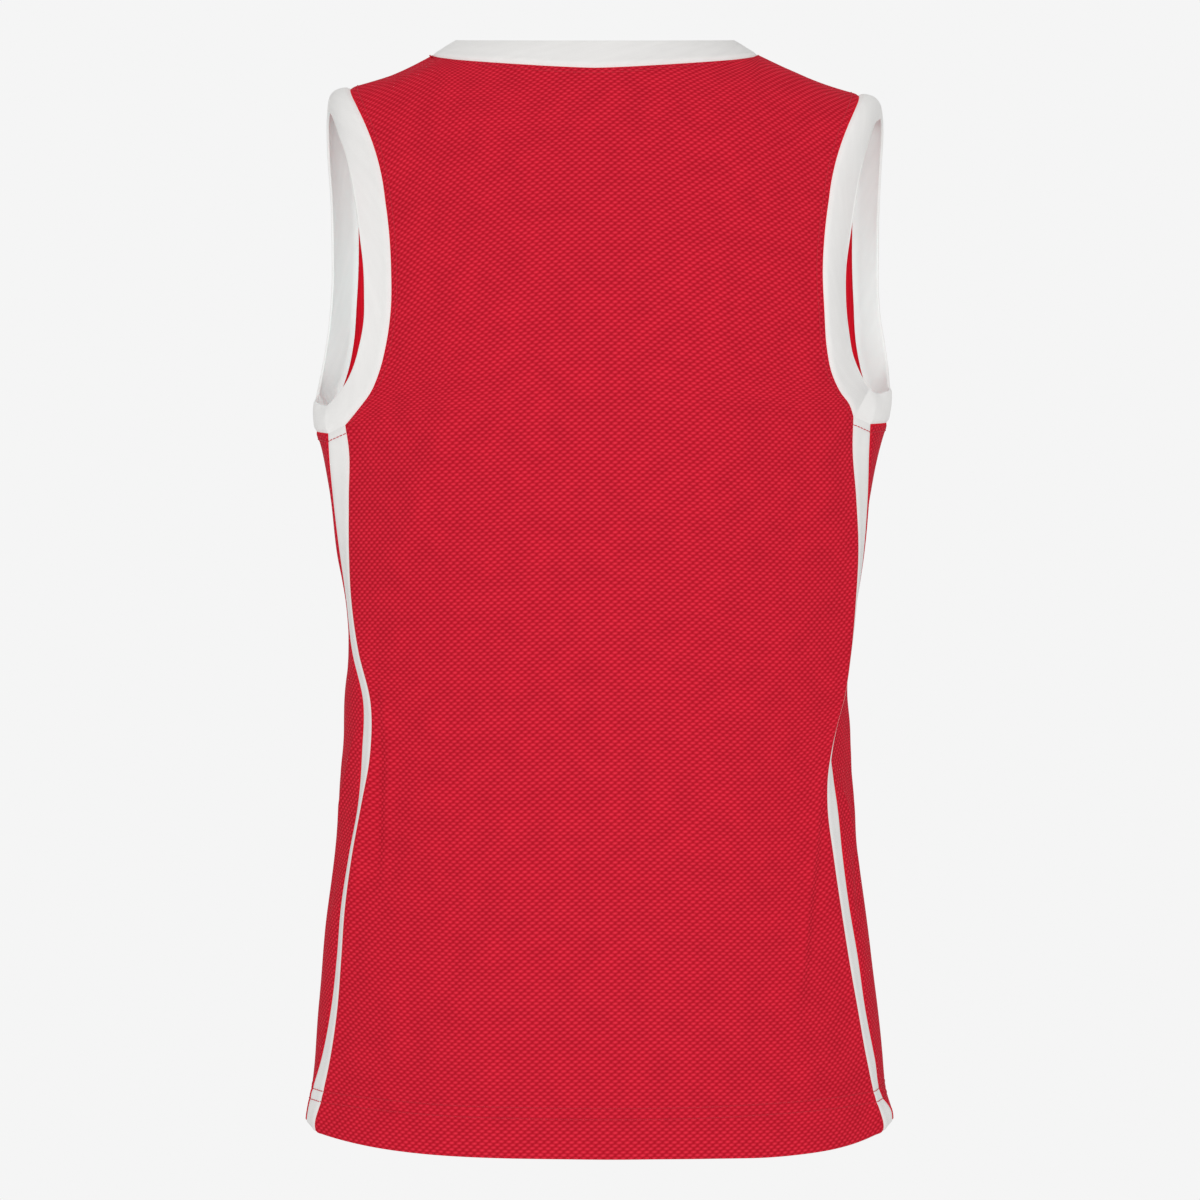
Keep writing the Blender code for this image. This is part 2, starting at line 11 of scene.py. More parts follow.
import bpy
import numpy as np
from bpy.props import FloatProperty, FloatVectorProperty, PointerProperty
from bpy.types import Operator, Panel, PropertyGroup
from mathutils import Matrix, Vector


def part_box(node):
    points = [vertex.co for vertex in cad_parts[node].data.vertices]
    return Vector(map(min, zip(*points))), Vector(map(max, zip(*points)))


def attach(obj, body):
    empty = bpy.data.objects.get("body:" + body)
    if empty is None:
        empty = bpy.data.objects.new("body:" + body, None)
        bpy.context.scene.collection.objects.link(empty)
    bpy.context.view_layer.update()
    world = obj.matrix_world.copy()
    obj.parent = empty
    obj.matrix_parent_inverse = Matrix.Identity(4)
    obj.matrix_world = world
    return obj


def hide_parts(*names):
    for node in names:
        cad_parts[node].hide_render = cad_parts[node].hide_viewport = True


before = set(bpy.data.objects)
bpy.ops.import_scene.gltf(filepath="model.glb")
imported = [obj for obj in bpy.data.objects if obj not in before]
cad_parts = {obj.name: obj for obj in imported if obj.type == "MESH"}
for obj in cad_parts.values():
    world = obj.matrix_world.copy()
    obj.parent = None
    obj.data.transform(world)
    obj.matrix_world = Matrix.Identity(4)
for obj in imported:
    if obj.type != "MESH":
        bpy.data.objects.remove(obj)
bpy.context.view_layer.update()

bl_info = {
    "name": "Basketball Jersey",
    "version": (1, 0, 0),
    "blender": (4, 5, 0),
    "location": "View3D > Sidebar > Jersey",
    "description": "Builds a sleeveless mesh-knit jersey with rib bands, stripes and stitching",
    "category": "Object",
}

MM = 0.001

# Heights of the hem and the underarm, in millimetres
HEM_HEIGHT = -745.0
UNDERARM_HEIGHT = -252.0

# Neck opening: half the width, depth and height of the seam at the neck points, depth and height
# of the seam at the back and the front, and the same for the free edge of the neck band. Then how
# far the shoulder seam sags, the neck's share of a panel, and the power by which its seam rises
NECK_CENTRE = 3.5
NECK_POINT = (115.0, 12.0, 13.6)
NECK_SEAM = {"back": (82.0, -6.4), "front": (-100.0, -105.0)}
NECK_EDGE_SIDE = (97.5, 12.0, 24.8)
NECK_EDGE = {"back": (74.0, 13.5), "front": (-94.0, -86.0)}
SHOULDER_TIP = {"left": (176.8, 2.0, -7.8), "right": (-183.2, 2.0, -12.4)}
SHOULDER_SAG = 2.6
NECK_SHARE = 2 / 3
NECK_RISE = {"back": 0.75, "front": 1.0}

# How round a section of the panels is, how late its height turns away from the centre's, and how
# the edges bow where the cloth turns over the shoulders
SECTION_ROUNDNESS = 2.6
EDGE_TURN = 6
YOKE_BOW = {"back": 9.0, "front": 4.0}
YOKE_EVEN = 0.45

# How much of the way to its free edge an armhole band keeps the cloth's direction, how much more
# where it rounds over the shoulder, how much it is turned up there, and how far every band stands
# proud along its middle
BAND_LEAD = 0.5
SHOULDER_LEAD = 0.22
SHOULDER_LIFT = 0.45
BAND_CROWN = 0.35

# Sampling: the columns over the neck and beside it, the columns of an insert and a stripe, and
# the rows of each stretch
NECK_COLUMNS = 96
SIDE_COLUMNS = 30
INSERT_COLUMNS = 24
STRIPE_COLUMNS = 8
HEM_ROWS = 26
BODY_ROWS = 140
ARMHOLE_ROWS = 48
YOKE_ROWS = 38
BAND_ROWS = 12
RIM_STEPS = 3
STITCH_SIDES = 5
FREE_EDGE_SAMPLES = 1500

# Where the close columns and rows by the seams lie: the last share of the even ones and the shares
# past it, across a panel, up to the underarm and up the yoke; the same across a stripe or an insert
# in millimetres from its seam; and the width that an insert's columns are spaced for
PANEL_CLOSE = (0.985, (0.992, 0.9965, 0.999, 1.0))
BODY_CLOSE = (0.991, (0.9955, 0.998, 0.9993, 1.0))
YOKE_CLOSE = (2.972, (2.984, 2.992, 2.997, 3.0))
NARROW_CLOSE = (3.0, (0.0, 0.5, 1.3))
INSERT_WIDTH = 60.0

# Share of a fold's length on each side of its middle that stands full, and over which it fades
FOLD_FULL = 0.3
FOLD_FADE = 0.3

# How far a cloth's outline may lie from its CAD node's box, in metres
BOX_TOLERANCE = 0.006

# Width of the dip along a seam, then the height, distance from the seam and width of the low roll
# beside it, and how close to the seam the roll fades out, in millimetres
SEAM_DIP_WIDTH = 1.3
SEAM_ROLL = (0.3, 4.0, 2.0, 1.5)

# Depth and width of the groove along a hem line, how far the hem below it stands proud, and the
# width over which its wall thins out, in millimetres
HEM_GROOVE = (0.28, 1.5)
HEM_STAND = 0.15
HEM_EDGE_WIDTH = 0.6

# Distance from a seam over which the creases and waves fade out, in millimetres
CREASE_CLEAR = 7.0

# How far the cloth under a rounded rim is drawn in, as a share of its wall
RIM_INSET = 0.45

# Profile of a stitch: stations along it as shares of its length, and each one's radius and lift
# over the cloth as shares of its thickness
STITCH_STATIONS = np.array([-0.5, -0.3, 0.3, 0.5])
STITCH_RADIUS = np.array([0.3, 0.5, 0.5, 0.3])
STITCH_LIFT = np.array([-0.45, 0.3, 0.3, -0.45])

EDGE_PLACES = {
    "bottom": (0, slice(None)),
    "top": (-1, slice(None)),
    "first": (slice(None), 0),
    "last": (slice(None), -1),
}

# Pieces round the hem, from the front round the left side
HEM_ORDER = (
    "front_panel",
    "stripe_front_left",
    "side_insert_left",
    "stripe_back_left",
    "back_panel",
    "stripe_back_right",
    "side_insert_right",
    "stripe_front_right",
)

# Soft lights, as name and place in metres: two large ones outside, and small ones inside the
# garment near its armholes that stand for the light that comes through the cloth. Then the large
# ones' size and the angle that each lights, and the small ones' radius
SOFT_LIGHTS = (("key", (0.0, 4.2, -0.2)), ("front_fill", (0.0, -4.2, -0.2)))
INSIDE_LIGHTS = (
    ("inside_left_top", (0.13, 0.02, -0.14)),
    ("inside_left_low", (0.13, 0.02, -0.28)),
    ("inside_right_top", (-0.13, 0.02, -0.14)),
    ("inside_right_low", (-0.13, 0.02, -0.28)),
)
SOFT_SIZE = 1.8
SOFT_SPREAD = np.radians(50)
INSIDE_RADIUS = 0.04

# Radius of the floor, and how many rings and spokes its disc has
FLOOR_RADIUS = 4.2
FLOOR_RINGS = 12
FLOOR_SPOKES = 64

# Distances from a seam between which the red knit's plain edge turns into its dots, and how deep
# the stripe's and the rib's stitches go, in metres
PLAIN_EDGE = (0.0006, 0.0018)
STRIPE_BUMP = 0.00008
RIB_BUMP = 0.00012

# Distances over which normals are evened out: the width in which a shared normal fades into a
# piece, how near two points count as one, and the bells round an armhole that even out its run,
# its normals and its outward directions, in millimetres
NORMAL_EASE = 3.0
WELD = 0.02
ARMHOLE_BELLS = (6.0, 20.0, 28.0)

# Side seams at the back: height, across and depth of the panel's seam, then how far across the
# stripe's outer edge and the side of the body lie
BACK_FLANK = {
    "left": (
        (-745, 196.6, 48, 206.0, 206.2),
        (-737, 198.4, 50, 205.9, 206.1),
        (-719, 194.2, 52, 203.0, 204.5),
        (-691, 188.0, 55, 195.0, 202.0),
        (-655, 182.5, 58, 187.8, 199.3),
        (-620, 179.6, 60, 183.5, 196.5),
        (-584, 177.0, 60, 180.5, 193.0),
        (-549, 172.4, 60, 175.0, 189.6),
        (-513, 165.8, 60, 168.5, 185.3),
        (-478, 159.6, 60, 166.3, 181.0),
        (-442, 159.4, 58, 165.6, 180.2),
        (-407, 168.5, 48, 174.0, 178.3),
        (-371, 174.0, 42, 178.5, 179.6),
        (-336, 175.3, 46, 183.3, 186.0),
        (-300, 175.0, 50, 187.0, 191.2),
        (-265, 174.8, 53, 189.5, 197.4),
        (-250, 177.0, 55, 190.0, 201.2),
    ),
    "right": (
        (-745, 196.0, 47, 205.2, 205.4),
        (-737, 197.6, 48, 205.2, 205.4),
        (-727, 195.4, 50, 203.8, 204.4),
        (-718, 192.2, 52, 197.9, 203.2),
        (-691, 185.8, 55, 192.4, 201.0),
        (-655, 179.2, 57, 185.3, 197.0),
        (-620, 173.0, 58, 180.3, 192.5),
        (-584, 167.4, 58, 174.2, 187.2),
        (-549, 162.3, 58, 169.6, 183.0),
        (-513, 158.0, 58, 165.8, 178.5),
        (-492, 158.4, 58, 162.6, 176.0),
        (-478, 160.5, 57, 160.5, 175.2),
        (-457, 165.5, 52, 162.0, 174.6),
        (-442, 170.0, 47, 166.5, 174.5),
        (-407, 176.0, 40, 173.0, 178.0),
        (-371, 179.0, 42, 180.5, 182.6),
        (-336, 180.5, 45, 185.5, 187.0),
        (-300, 178.5, 50, 187.8, 191.5),
        (-265, 175.7, 53, 188.3, 197.5),
        (-244, 176.0, 56, 189.0, 203.0),
    ),
}
# Side seams at the front: height, across on the left and on the right, depth, and how far the
# stripe's outer edge lies beyond the seam
FRONT_FLANK = (
    (-745, 195.0, 194.0, -50, 10.0),
    (-719, 191.0, 190.0, -53, 10.0),
    (-655, 183.0, 181.0, -57, 8.0),
    (-584, 176.0, 171.5, -58, 6.0),
    (-513, 167.5, 165.5, -56, 8.0),
    (-442, 166.0, 166.0, -52, 8.0),
    (-371, 173.0, 176.0, -47, 6.0),
    (-300, 184.0, 186.0, -42, 6.0),
    (-241, 194.0, 196.5, -36, 6.0),
)
# How far the hem rises, and the height of the armhole seam, at the four seams of each flank:
# front panel to stripe, stripe to insert, insert to stripe, and stripe to back panel
FLANK_HEM_RISE = (4.5, 10.0, 10.0, 4.5)
FLANK_TOP = {
    "left": (-241.0, -249.0, -255.0, -250.0),
    "right": (-236.0, -243.5, -248.5, -244.0),
}
# Armhole seams from the underarm up to the yoke: height, across, depth
ARMHOLE = {
    "back": {
        "left": (
            (-250.0, 177.0, 55),
            (-240.0, 167.7, 64),
            (-227.0, 157.1, 75),
            (-213.6, 151.2, 81),
            (-200.0, 147.5, 84),
            (-173.0, 143.4, 86),
            (-145.6, 143.1, 86),
            (-118.0, 145.0, 80),
            (-89.5, 149.0, 70),
        ),
        "right": (
            (-244.0, 176.0, 56),
            (-237.0, 173.3, 61),
            (-227.0, 165.3, 70),
            (-213.6, 158.7, 79),
            (-200.0, 155.8, 83),
            (-173.0, 153.7, 86),
            (-145.6, 152.6, 86),
            (-118.0, 154.5, 80),
            (-89.5, 158.6, 70),
        ),
    },
    "front": {
        "left": (
            (-241.0, 194.0, -36),
            (-233.0, 193.2, -44),
            (-219.0, 189.3, -52),
            (-203.0, 184.7, -57.5),
            (-185.0, 181.4, -60.5),
            (-150.0, 178.7, -61.5),
        ),
        "right": (
            (-236.0, 196.5, -36),
            (-229.0, 196.5, -44),
            (-217.0, 194.6, -52),
            (-203.0, 191.5, -57.5),
            (-185.0, 188.4, -60.5),
            (-150.0, 186.2, -61.5),
        ),
    },
}
# Free edges of the armhole bands, from the underarm up the back and down the front: across,
# depth, height
FREE_EDGE = {
    "left": (
        (202.3, 8, -230.5),
        (194.1, 30, -234.4),
        (184.6, 49, -230.2),
        (177.5, 60, -223.1),
        (171.2, 68, -212.8),
        (166.0, 74, -197.7),
        (162.1, 78, -177.8),
        (161.8, 79, -160.8),
        (162.5, 78, -142.2),
        (164.7, 75, -123.2),
        (167.9, 69, -101.2),
        (171.6, 61, -81.4),
        (176.2, 51, -64.3),
        (183.3, 35, -45.4),
        (189.4, 17, -29.9),
        (193.6, 2, -27.3),
        (195.6, -13, -31.0),
        (196.4, -30, -53.9),
        (195.4, -43, -81),
        (195.0, -49, -116.5),
        (195.2, -51, -143.2),
        (197.0, -51, -168.4),
        (200.2, -49, -193.6),
        (202.4, -43, -207.4),
        (203.6, -27, -221.0),
        (203.2, -8, -228.0),
    ),
    "right": (
        (-206.0, 8, -222.5),
        (-196.8, 28, -225.9),
        (-190.4, 46, -225.8),
        (-183.2, 59, -219.7),
        (-176.2, 67, -206.5),
        (-171.6, 74, -188.5),
        (-169.5, 77, -173.1),
        (-168.8, 78, -157.5),
        (-169.2, 78, -142.1),
        (-172.0, 75, -120.5),
        (-175.7, 69, -98.2),
        (-179.5, 61, -78.5),
        (-185.0, 49, -59.5),
        (-193.2, 30, -37.2),
        (-197.8, 13, -32.0),
        (-201.3, -1, -31.2),
        (-203.0, -15, -36),
        (-203.2, -33, -60),
        (-202.5, -44, -94.6),
        (-202.7, -50, -127),
        (-202.7, -52, -143.1),
        (-204.1, -52, -165),
        (-207.1, -49, -185.2),
        (-209.0, -43, -202.6),
        (-208.6, -27, -216.0),
        (-207.6, -8, -220.5),
    ),
}
# Depth of the centre line: height, depth
CENTRE_LINE = {
    "back": (
        (-745, 128),
        (-680, 124),
        (-600, 118),
        (-500, 108),
        (-420, 106),
        (-340, 114),
        (-250, 124),
        (-180, 126),
        (-130, 121),
        (-89.5, 112),
    ),
    "front": (
        (-745, -122),
        (-680, -120),
        (-600, -117),
        (-500, -114),
        (-420, -115),
        (-340, -120),
        (-250, -124),
        (-200, -121),
        (-150, -112),
    ),
}
# How far the hem hangs below its height between the side seams: share across, drop
HEM_HANG = {
    "back": (
        (-1.0, 0.0),
        (-0.93, 2.0),
        (-0.82, 3.2),
        (-0.6, 3.3),
        (-0.4, 1.7),
        (-0.2, 0.8),
        (0.0, 0.7),
        (0.8, 0.7),
        (1.0, 0.0),
    ),
    "front": ((-1.0, 0.0), (-0.7, 0.6), (0.0, 0.6), (0.55, 2.0), (0.85, 1.6), (1.0, 0.0)),
}
HANG_REACH = 0.3
# Fullness of the turn over the shoulders: share of the way out from the centre line, fullness
YOKE_FULLNESS = ((0.0, 0.30), (0.33, 0.45), (0.66, 0.75), (1.0, 0.65))

# Largest soft folds of each panel: start across, start height, end across, end height, width and
# height of the ridge, which is a trough where it is negative
FOLDS = {
    "back": (
        (-155, -495, -136, -640, 15, 3.0),
        (150, -425, 146, -490, 13, -3.0),
        (147, -490, 155, -560, 13, -2.5),
        (92, -205, 134, -335, 18, 2.0),
        (-150, -170, -158, -345, 16, 1.5),
        (60, -560, 95, -700, 22, 1.5),
    ),
    "front": (
        (150, -480, 132, -620, 15, 3.0),
        (-148, -420, -144, -500, 13, -3.0),
        (-100, -220, -138, -340, 18, 2.5),
        (104, -230, 126, -360, 17, -2.0),
        (-70, -540, -105, -690, 22, 2.0),
    ),
}

# Narrower creases laid over the finished form, in the same columns as the folds
CREASES = {
    "back": (
        (156, -440, 152, -560, 5, -1.4),
        (149, -436, 145, -486, 3.5, 1.4),
        (145, -486, 150, -562, 3.5, 1.5),
        (170, -546, 174, -610, 5, 1.6),
        (-154, -496, -136, -640, 3.5, 1.6),
        (-160, -480, -147, -600, 5, -1.2),
        (94, -210, 111, -276, 7, 0.8),
        (113, -278, 138, -342, 8, 0.7),
        (145, -204, 143, -250, 6, -0.7),
        (-152, -168, -156, -300, 7, 0.6),
        (152, -4, 118, 9, 7, -1.3),
        (-150, -12, -118, -2, 6, 0.5),
        (30, -330, 62, -470, 26, 0.9),
        (-40, -300, -66, -430, 28, -0.8),
        (-20, -560, -48, -700, 24, 0.8),
        (110, -600, 128, -715, 16, -0.8),
    ),
    "front": (
        (152, -470, 144, -530, 5, -1.3),
        (-150, -430, -146, -510, 5, -1.4),
        (-144, -436, -141, -520, 4, 1.2),
        (-160, -540, -166, -620, 5, 1.3),
        (140, -500, 133, -630, 4, 1.5),
        (-98, -226, -118, -290, 8, 0.8),
        (100, -222, 122, -300, 8, -0.7),
        (150, -150, 152, -240, 7, 0.6),
        (36, -300, 60, -450, 26, 0.9),
        (-44, -350, -70, -480, 26, -0.8),
        (20, -560, 44, -700, 24, 0.8),
        (-60, -128, -30, -150, 12, 0.9),
        (64, -126, 34, -150, 12, 0.8),
        (-118, -610, -130, -715, 16, -0.8),
    ),
    "left": (
        (34, -470, 12, -520, 5, 1.8),
        (20, -560, 6, -640, 8, -1.4),
        (-14, -420, -4, -500, 7, 1.4),
        (10, -300, 2, -370, 9, -0.9),
    ),
    "right": (
        (32, -505, 14, -552, 5, 1.8),
        (16, -545, 30, -590, 5, -1.5),
        (-12, -450, 2, -530, 7, 1.4),
        (8, -310, -4, -380, 9, -0.9),
    ),
}
# Slow waves that leave the cloth nowhere quite flat: cycles across and up each metre, phase in
# radians, and height
WAVES = (
    (7.0, 3.0, 0.4, 0.42),
    (-5.0, 6.5, 1.9, 0.34),
    (11.0, -4.0, 3.1, 0.22),
    (3.0, 12.0, 5.0, 0.18),
    (16.0, 7.0, 2.2, 0.10),
)

Sizes = namedtuple(
    "Sizes",
    "wall hem_wall hem_depth band_wall stripe_width dip fold line_low line_high",
)


def unit(vectors):
    """Each vector divided by its length."""
    return vectors / np.linalg.norm(vectors, axis=-1, keepdims=True)


def follow(table, column, at):
    """Reads a column of a table at the places AT of its first column, on a smooth cubic."""
    rows = np.array(table, float)
    knots, values = rows[:, 0], rows[:, column]
    slopes = np.gradient(values, knots)
    at = np.clip(at, knots[0], knots[-1])
    low = np.clip(np.searchsorted(knots, at, side="right") - 1, 0, len(knots) - 2)
    step = knots[low + 1] - knots[low]
    t = (at - knots[low]) / step
    start = (1 + 2 * t) * (1 - t) ** 2 * values[low] + t * (1 - t) ** 2 * step * slopes[low]
    end = t**2 * (3 - 2 * t) * values[low + 1] - t**2 * (1 - t) * step * slopes[low + 1]
    return start + end


def along_seam(table, share):
    """Height, across and depth at a share of an armhole seam's own length from the underarm."""
    rows = np.array(table, float)
    steps = np.linalg.norm(np.diff(rows, axis=0), axis=1)
    length = np.concatenate([[0.0], np.cumsum(steps)]) / steps.sum()
    keyed = np.column_stack([length, rows])
    return [follow(keyed, column, share) for column in (1, 2, 3)]


def seam_height(side, seam, level):
    """Height of one of the four flank seams: level 0 is the hem and level 1 the armhole seam."""
    low = HEM_HEIGHT + FLANK_HEM_RISE[seam]
    return low + np.clip(level, 0, 1) * (FLANK_TOP[side][seam] - low)


def panel_edge(face, side, level):
    """Across, depth and height of a panel's side edge: level 1 is the underarm, 2 the yoke."""
    height = seam_height(side, 3 if face == "back" else 0, level)
    if face == "back":
        across = follow(BACK_FLANK[side], 1, height)
        depth = follow(BACK_FLANK[side], 2, height)
    else:
        across = follow(FRONT_FLANK, 1 if side == "left" else 2, height)
        depth = follow(FRONT_FLANK, 3, height)
    upper = along_seam(ARMHOLE[face][side], np.clip(level - 1, 0, 1))
    above = level > 1
    return (
        np.where(above, upper[1], across),
        np.where(above, upper[2], depth),
        np.where(above, upper[0], height),
    )


def shoulder_line(face, across):
    """Top edge of a panel: the neck seam's arc, then the shoulder seam, which sags a little."""
    turn = np.clip(np.abs(across) / NECK_SHARE, 0, 1) * np.pi / 2
    run = np.clip((np.abs(across) - NECK_SHARE) / (1 - NECK_SHARE), 0, 1)
    depth, height = NECK_SEAM[face]
    rise = (1 - np.cos(turn)) ** NECK_RISE[face]
    x = NECK_CENTRE + np.sign(across) * NECK_POINT[0] * np.sin(turn)
    y = NECK_POINT[1] + (depth - NECK_POINT[1]) * np.cos(turn)
    z = height + (NECK_POINT[2] - height) * rise
    line = np.stack([x, y, z], axis=-1)
    left, right = np.array(SHOULDER_TIP["left"]), np.array(SHOULDER_TIP["right"])
    tip = np.where((across >= 0)[:, None], left, right)
    line = line + (tip - line) * run[:, None]
    line[:, 2] -= SHOULDER_SAG * np.sin(np.pi * run)
    return line


def fold_relief(folds, x, z):
    """Sum of the soft folds: each a bell across its line that fades out towards both ends."""
    relief = np.zeros_like(x)
    for start_x, start_z, end_x, end_z, width, height in folds:
        run_x, run_z = end_x - start_x, end_z - start_z
        length = np.hypot(run_x, run_z)
        place = ((x - start_x) * run_x + (z - start_z) * run_z) / length**2
        aside = ((x - start_x) * run_z - (z - start_z) * run_x) / length
        past = np.maximum(np.abs(place - 0.5) - FOLD_FULL, 0) / FOLD_FADE
        relief += height * np.exp(-((aside / width) ** 2) - past**2)
    return relief


def body_section(face, across, level):
    """Rows of a panel below the yoke, up to level 2.

    Each row rounds away from the centre line as a power of the share across, up to its edges. The
    hem's hang dies out up the panel as a square.
    """
    u = across[None, :]
    level = level[:, None]
    left, right = panel_edge(face, "left", level), panel_edge(face, "right", level)
    edge_x, edge_y, edge_z = (np.where(u >= 0, one, other) for one, other in zip(left, right))
    body = HEM_HEIGHT + np.minimum(level, 1) * (UNDERARM_HEIGHT - HEM_HEIGHT)
    middle_z = np.where(level > 1, (left[2] + right[2]) / 2, body)
    x = u * edge_x
    z = middle_z + (edge_z - middle_z) * np.abs(u) ** EDGE_TURN
    z = z - follow(HEM_HANG[face], 1, u) * (1 - np.clip(level / HANG_REACH, 0, 1)) ** 2
    middle_y = follow(CENTRE_LINE[face], 1, z)
    y = middle_y - (middle_y - edge_y) * np.abs(u) ** SECTION_ROUNDNESS
    outward = 1.0 if face == "back" else -1.0
    y = y + outward * fold_relief(FOLDS[face], x, z) * (1 - np.abs(u) ** 8)
    return np.stack([x, y, z], axis=-1)


def panel(face, across, level):
    """Outer surface of the back or front panel, a row for each level and a column for each across.

    Over the yoke each column is a cubic arc that leaves the body along its own run and ends on the
    shoulder line.
    """
    section = body_section(face, across, np.minimum(level, 2))
    foot = body_section(face, across, np.array([1.96, 2.0]))
    start, top = foot[1], shoulder_line(face, across)
    halfway = (start + top) / 2
    corner = np.stack([halfway[:, 0], start[:, 1], top[:, 2]], axis=-1)
    fullness = follow(YOKE_FULLNESS, 1, np.abs(across))[:, None]
    pull = halfway + fullness * (corner - halfway)
    pull[:, 0] += YOKE_BOW[face] * np.sign(across) * np.abs(across) ** 3
    lead = (pull - start) * 2 / 3
    first = start + unit(foot[1] - foot[0]) * np.linalg.norm(lead, axis=-1, keepdims=True)
    second = top + (pull - top) * 2 / 3 + YOKE_EVEN * (start + lead - first)
    t = np.clip(level - 2, 0, 1)[:, None, None]
    arc = (1 - t) ** 3 * start + 3 * t * (1 - t) ** 2 * first
    arc = arc + 3 * t**2 * (1 - t) * second + t**3 * top
    return np.where(level[:, None, None] > 2, arc, section)


def flank_seams(side, level, width):
    """The four seams of a flank, in order from the front panel round to the back panel."""
    heights = [seam_height(side, seam, level) for seam in range(4)]
    sign = 1.0 if side == "left" else -1.0
    column = 1 if side == "left" else 2
    front_x = [follow(FRONT_FLANK, column, height) for height in heights[:2]]
    front_y = [follow(FRONT_FLANK, 3, height) for height in heights[:2]]
    front_step = follow(FRONT_FLANK, 4, heights[1])
    table = BACK_FLANK[side]
    back_x = [follow(table, 1, height) for height in heights[2:]]
    back_y = [follow(table, 2, height) for height in heights[2:]]
    back_step = follow(table, 3, heights[2]) - back_x[0]
    seams = (
        (front_x[0], front_y[0], heights[0]),
        (front_x[1] + front_step, front_y[1] + np.sqrt(width**2 - front_step**2), heights[1]),
        (back_x[0] + back_step, back_y[0] - np.sqrt(width**2 - back_step**2), heights[2]),
        (back_x[1], back_y[1], heights[3]),
    )
    return [np.stack([sign * x, y, z], axis=-1) for x, y, z in seams]


def stripe(side, face, level, width):
    """A stripe's outer surface: straight across in every section."""
    seams = flank_seams(side, level, width)
    first, second = seams[:2] if face == "front" else seams[2:]
    share = narrow_samples(STRIPE_COLUMNS, width)[None, :, None]
    surface = first[:, None] * (1 - share) + second[:, None] * share
    return surface if side == "left" else surface[:, ::-1]


def insert(side, level, width):
    """A side insert's outer surface: each section bulges out to the side as a parabola."""
    seams = flank_seams(side, level, width)
    share = narrow_samples(INSERT_COLUMNS, INSERT_WIDTH)[None, :, None]
    surface = seams[1][:, None] * (1 - share) + seams[2][:, None] * share
    chord = (seams[1] + seams[2]) / 2
    sign = 1.0 if side == "left" else -1.0
    bulge = sign * follow(BACK_FLANK[side], 4, chord[:, 2]) - chord[:, 0]
    surface[..., 0] += bulge[:, None] * (1 - (2 * share[..., 0] - 1) ** 2)
    return surface if side == "left" else surface[:, ::-1]


def normals_of(surface, wrapped=False):
    """Outward unit normals: the run along a row crossed with the run up a column.

    Rows run anticlockwise seen from above. On a wrapped grid the last column is the first again.
    """
    if wrapped:
        ring = np.concatenate([surface[:, -2:-1], surface, surface[:, 1:2]], axis=1)
        along = ring[:, 2:] - ring[:, :-2]
    else:
        along = np.gradient(surface, axis=1)
    return unit(np.cross(along, np.gradient(surface, axis=0)))


def runs(surface, axis):
    """Length along the grid's lines on one axis, from its first point to each point."""
    steps = np.linalg.norm(np.diff(surface, axis=axis), axis=-1)
    start = np.zeros_like(np.take(steps, [0], axis=axis))
    return np.concatenate([start, np.cumsum(steps, axis=axis)], axis=axis)


def edge_distances(surface):
    """Distances from the first and last columns and the bottom and top rows, along the cloth."""
    along, up = runs(surface, 1), runs(surface, 0)
    return {
        "first": along,
        "last": along[:, -1:] - along,
        "bottom": up,
        "top": up[-1:] - up,
    }


def across_samples():
    """Shares across a panel: even over the neck and beside it, and close together at the seams."""
    neck = np.linspace(-NECK_SHARE, NECK_SHARE, NECK_COLUMNS + 1)
    last, close = PANEL_CLOSE
    outer = np.concatenate([np.linspace(NECK_SHARE, last, SIDE_COLUMNS + 1)[1:], close])
    return np.concatenate([-outer[::-1], neck, outer])


def narrow_samples(columns, width):
    """Shares across a stripe or an insert, with two close columns inside each seam."""
    first, close = NARROW_CLOSE
    close = np.array(close) / width
    middle = np.linspace(first / width, 1 - first / width, columns - 3)
    return np.concatenate([close, middle, 1 - close[::-1]])


def level_samples(hem_depth):
    """Levels of the rows below the underarm, and of all rows: close at the hem and the seams."""
    turn_up = 1.2 * hem_depth / (UNDERARM_HEIGHT - HEM_HEIGHT)
    hem = np.linspace(0, turn_up, HEM_ROWS + 1)
    below = np.concatenate([hem, np.linspace(turn_up, BODY_CLOSE[0], BODY_ROWS)[1:], BODY_CLOSE[1]])
    armhole = np.linspace(1, 2, ARMHOLE_ROWS + 1)[1:]
    yoke = np.linspace(2, YOKE_CLOSE[0], YOKE_ROWS + 1)[1:]
    return below, np.concatenate([below, armhole, yoke, YOKE_CLOSE[1]])


def ring_smoothed(vectors, points, spread):
    """Unit vectors round a closed run, averaged under a bell of this spread along its length."""
    place = runs(points[None], 1)[0]
    total = place[-1]
    lengths = np.diff(place)
    weight = (lengths + np.roll(lengths, 1)) / 2
    apart = np.abs(place[:-1, None] - place[None, :-1])
    apart = np.minimum(apart, total - apart)
    bell = np.exp(-0.5 * (apart / spread) ** 2) * weight
    ring = unit(bell @ vectors[:-1])
    return np.concatenate([ring, ring[:1]])


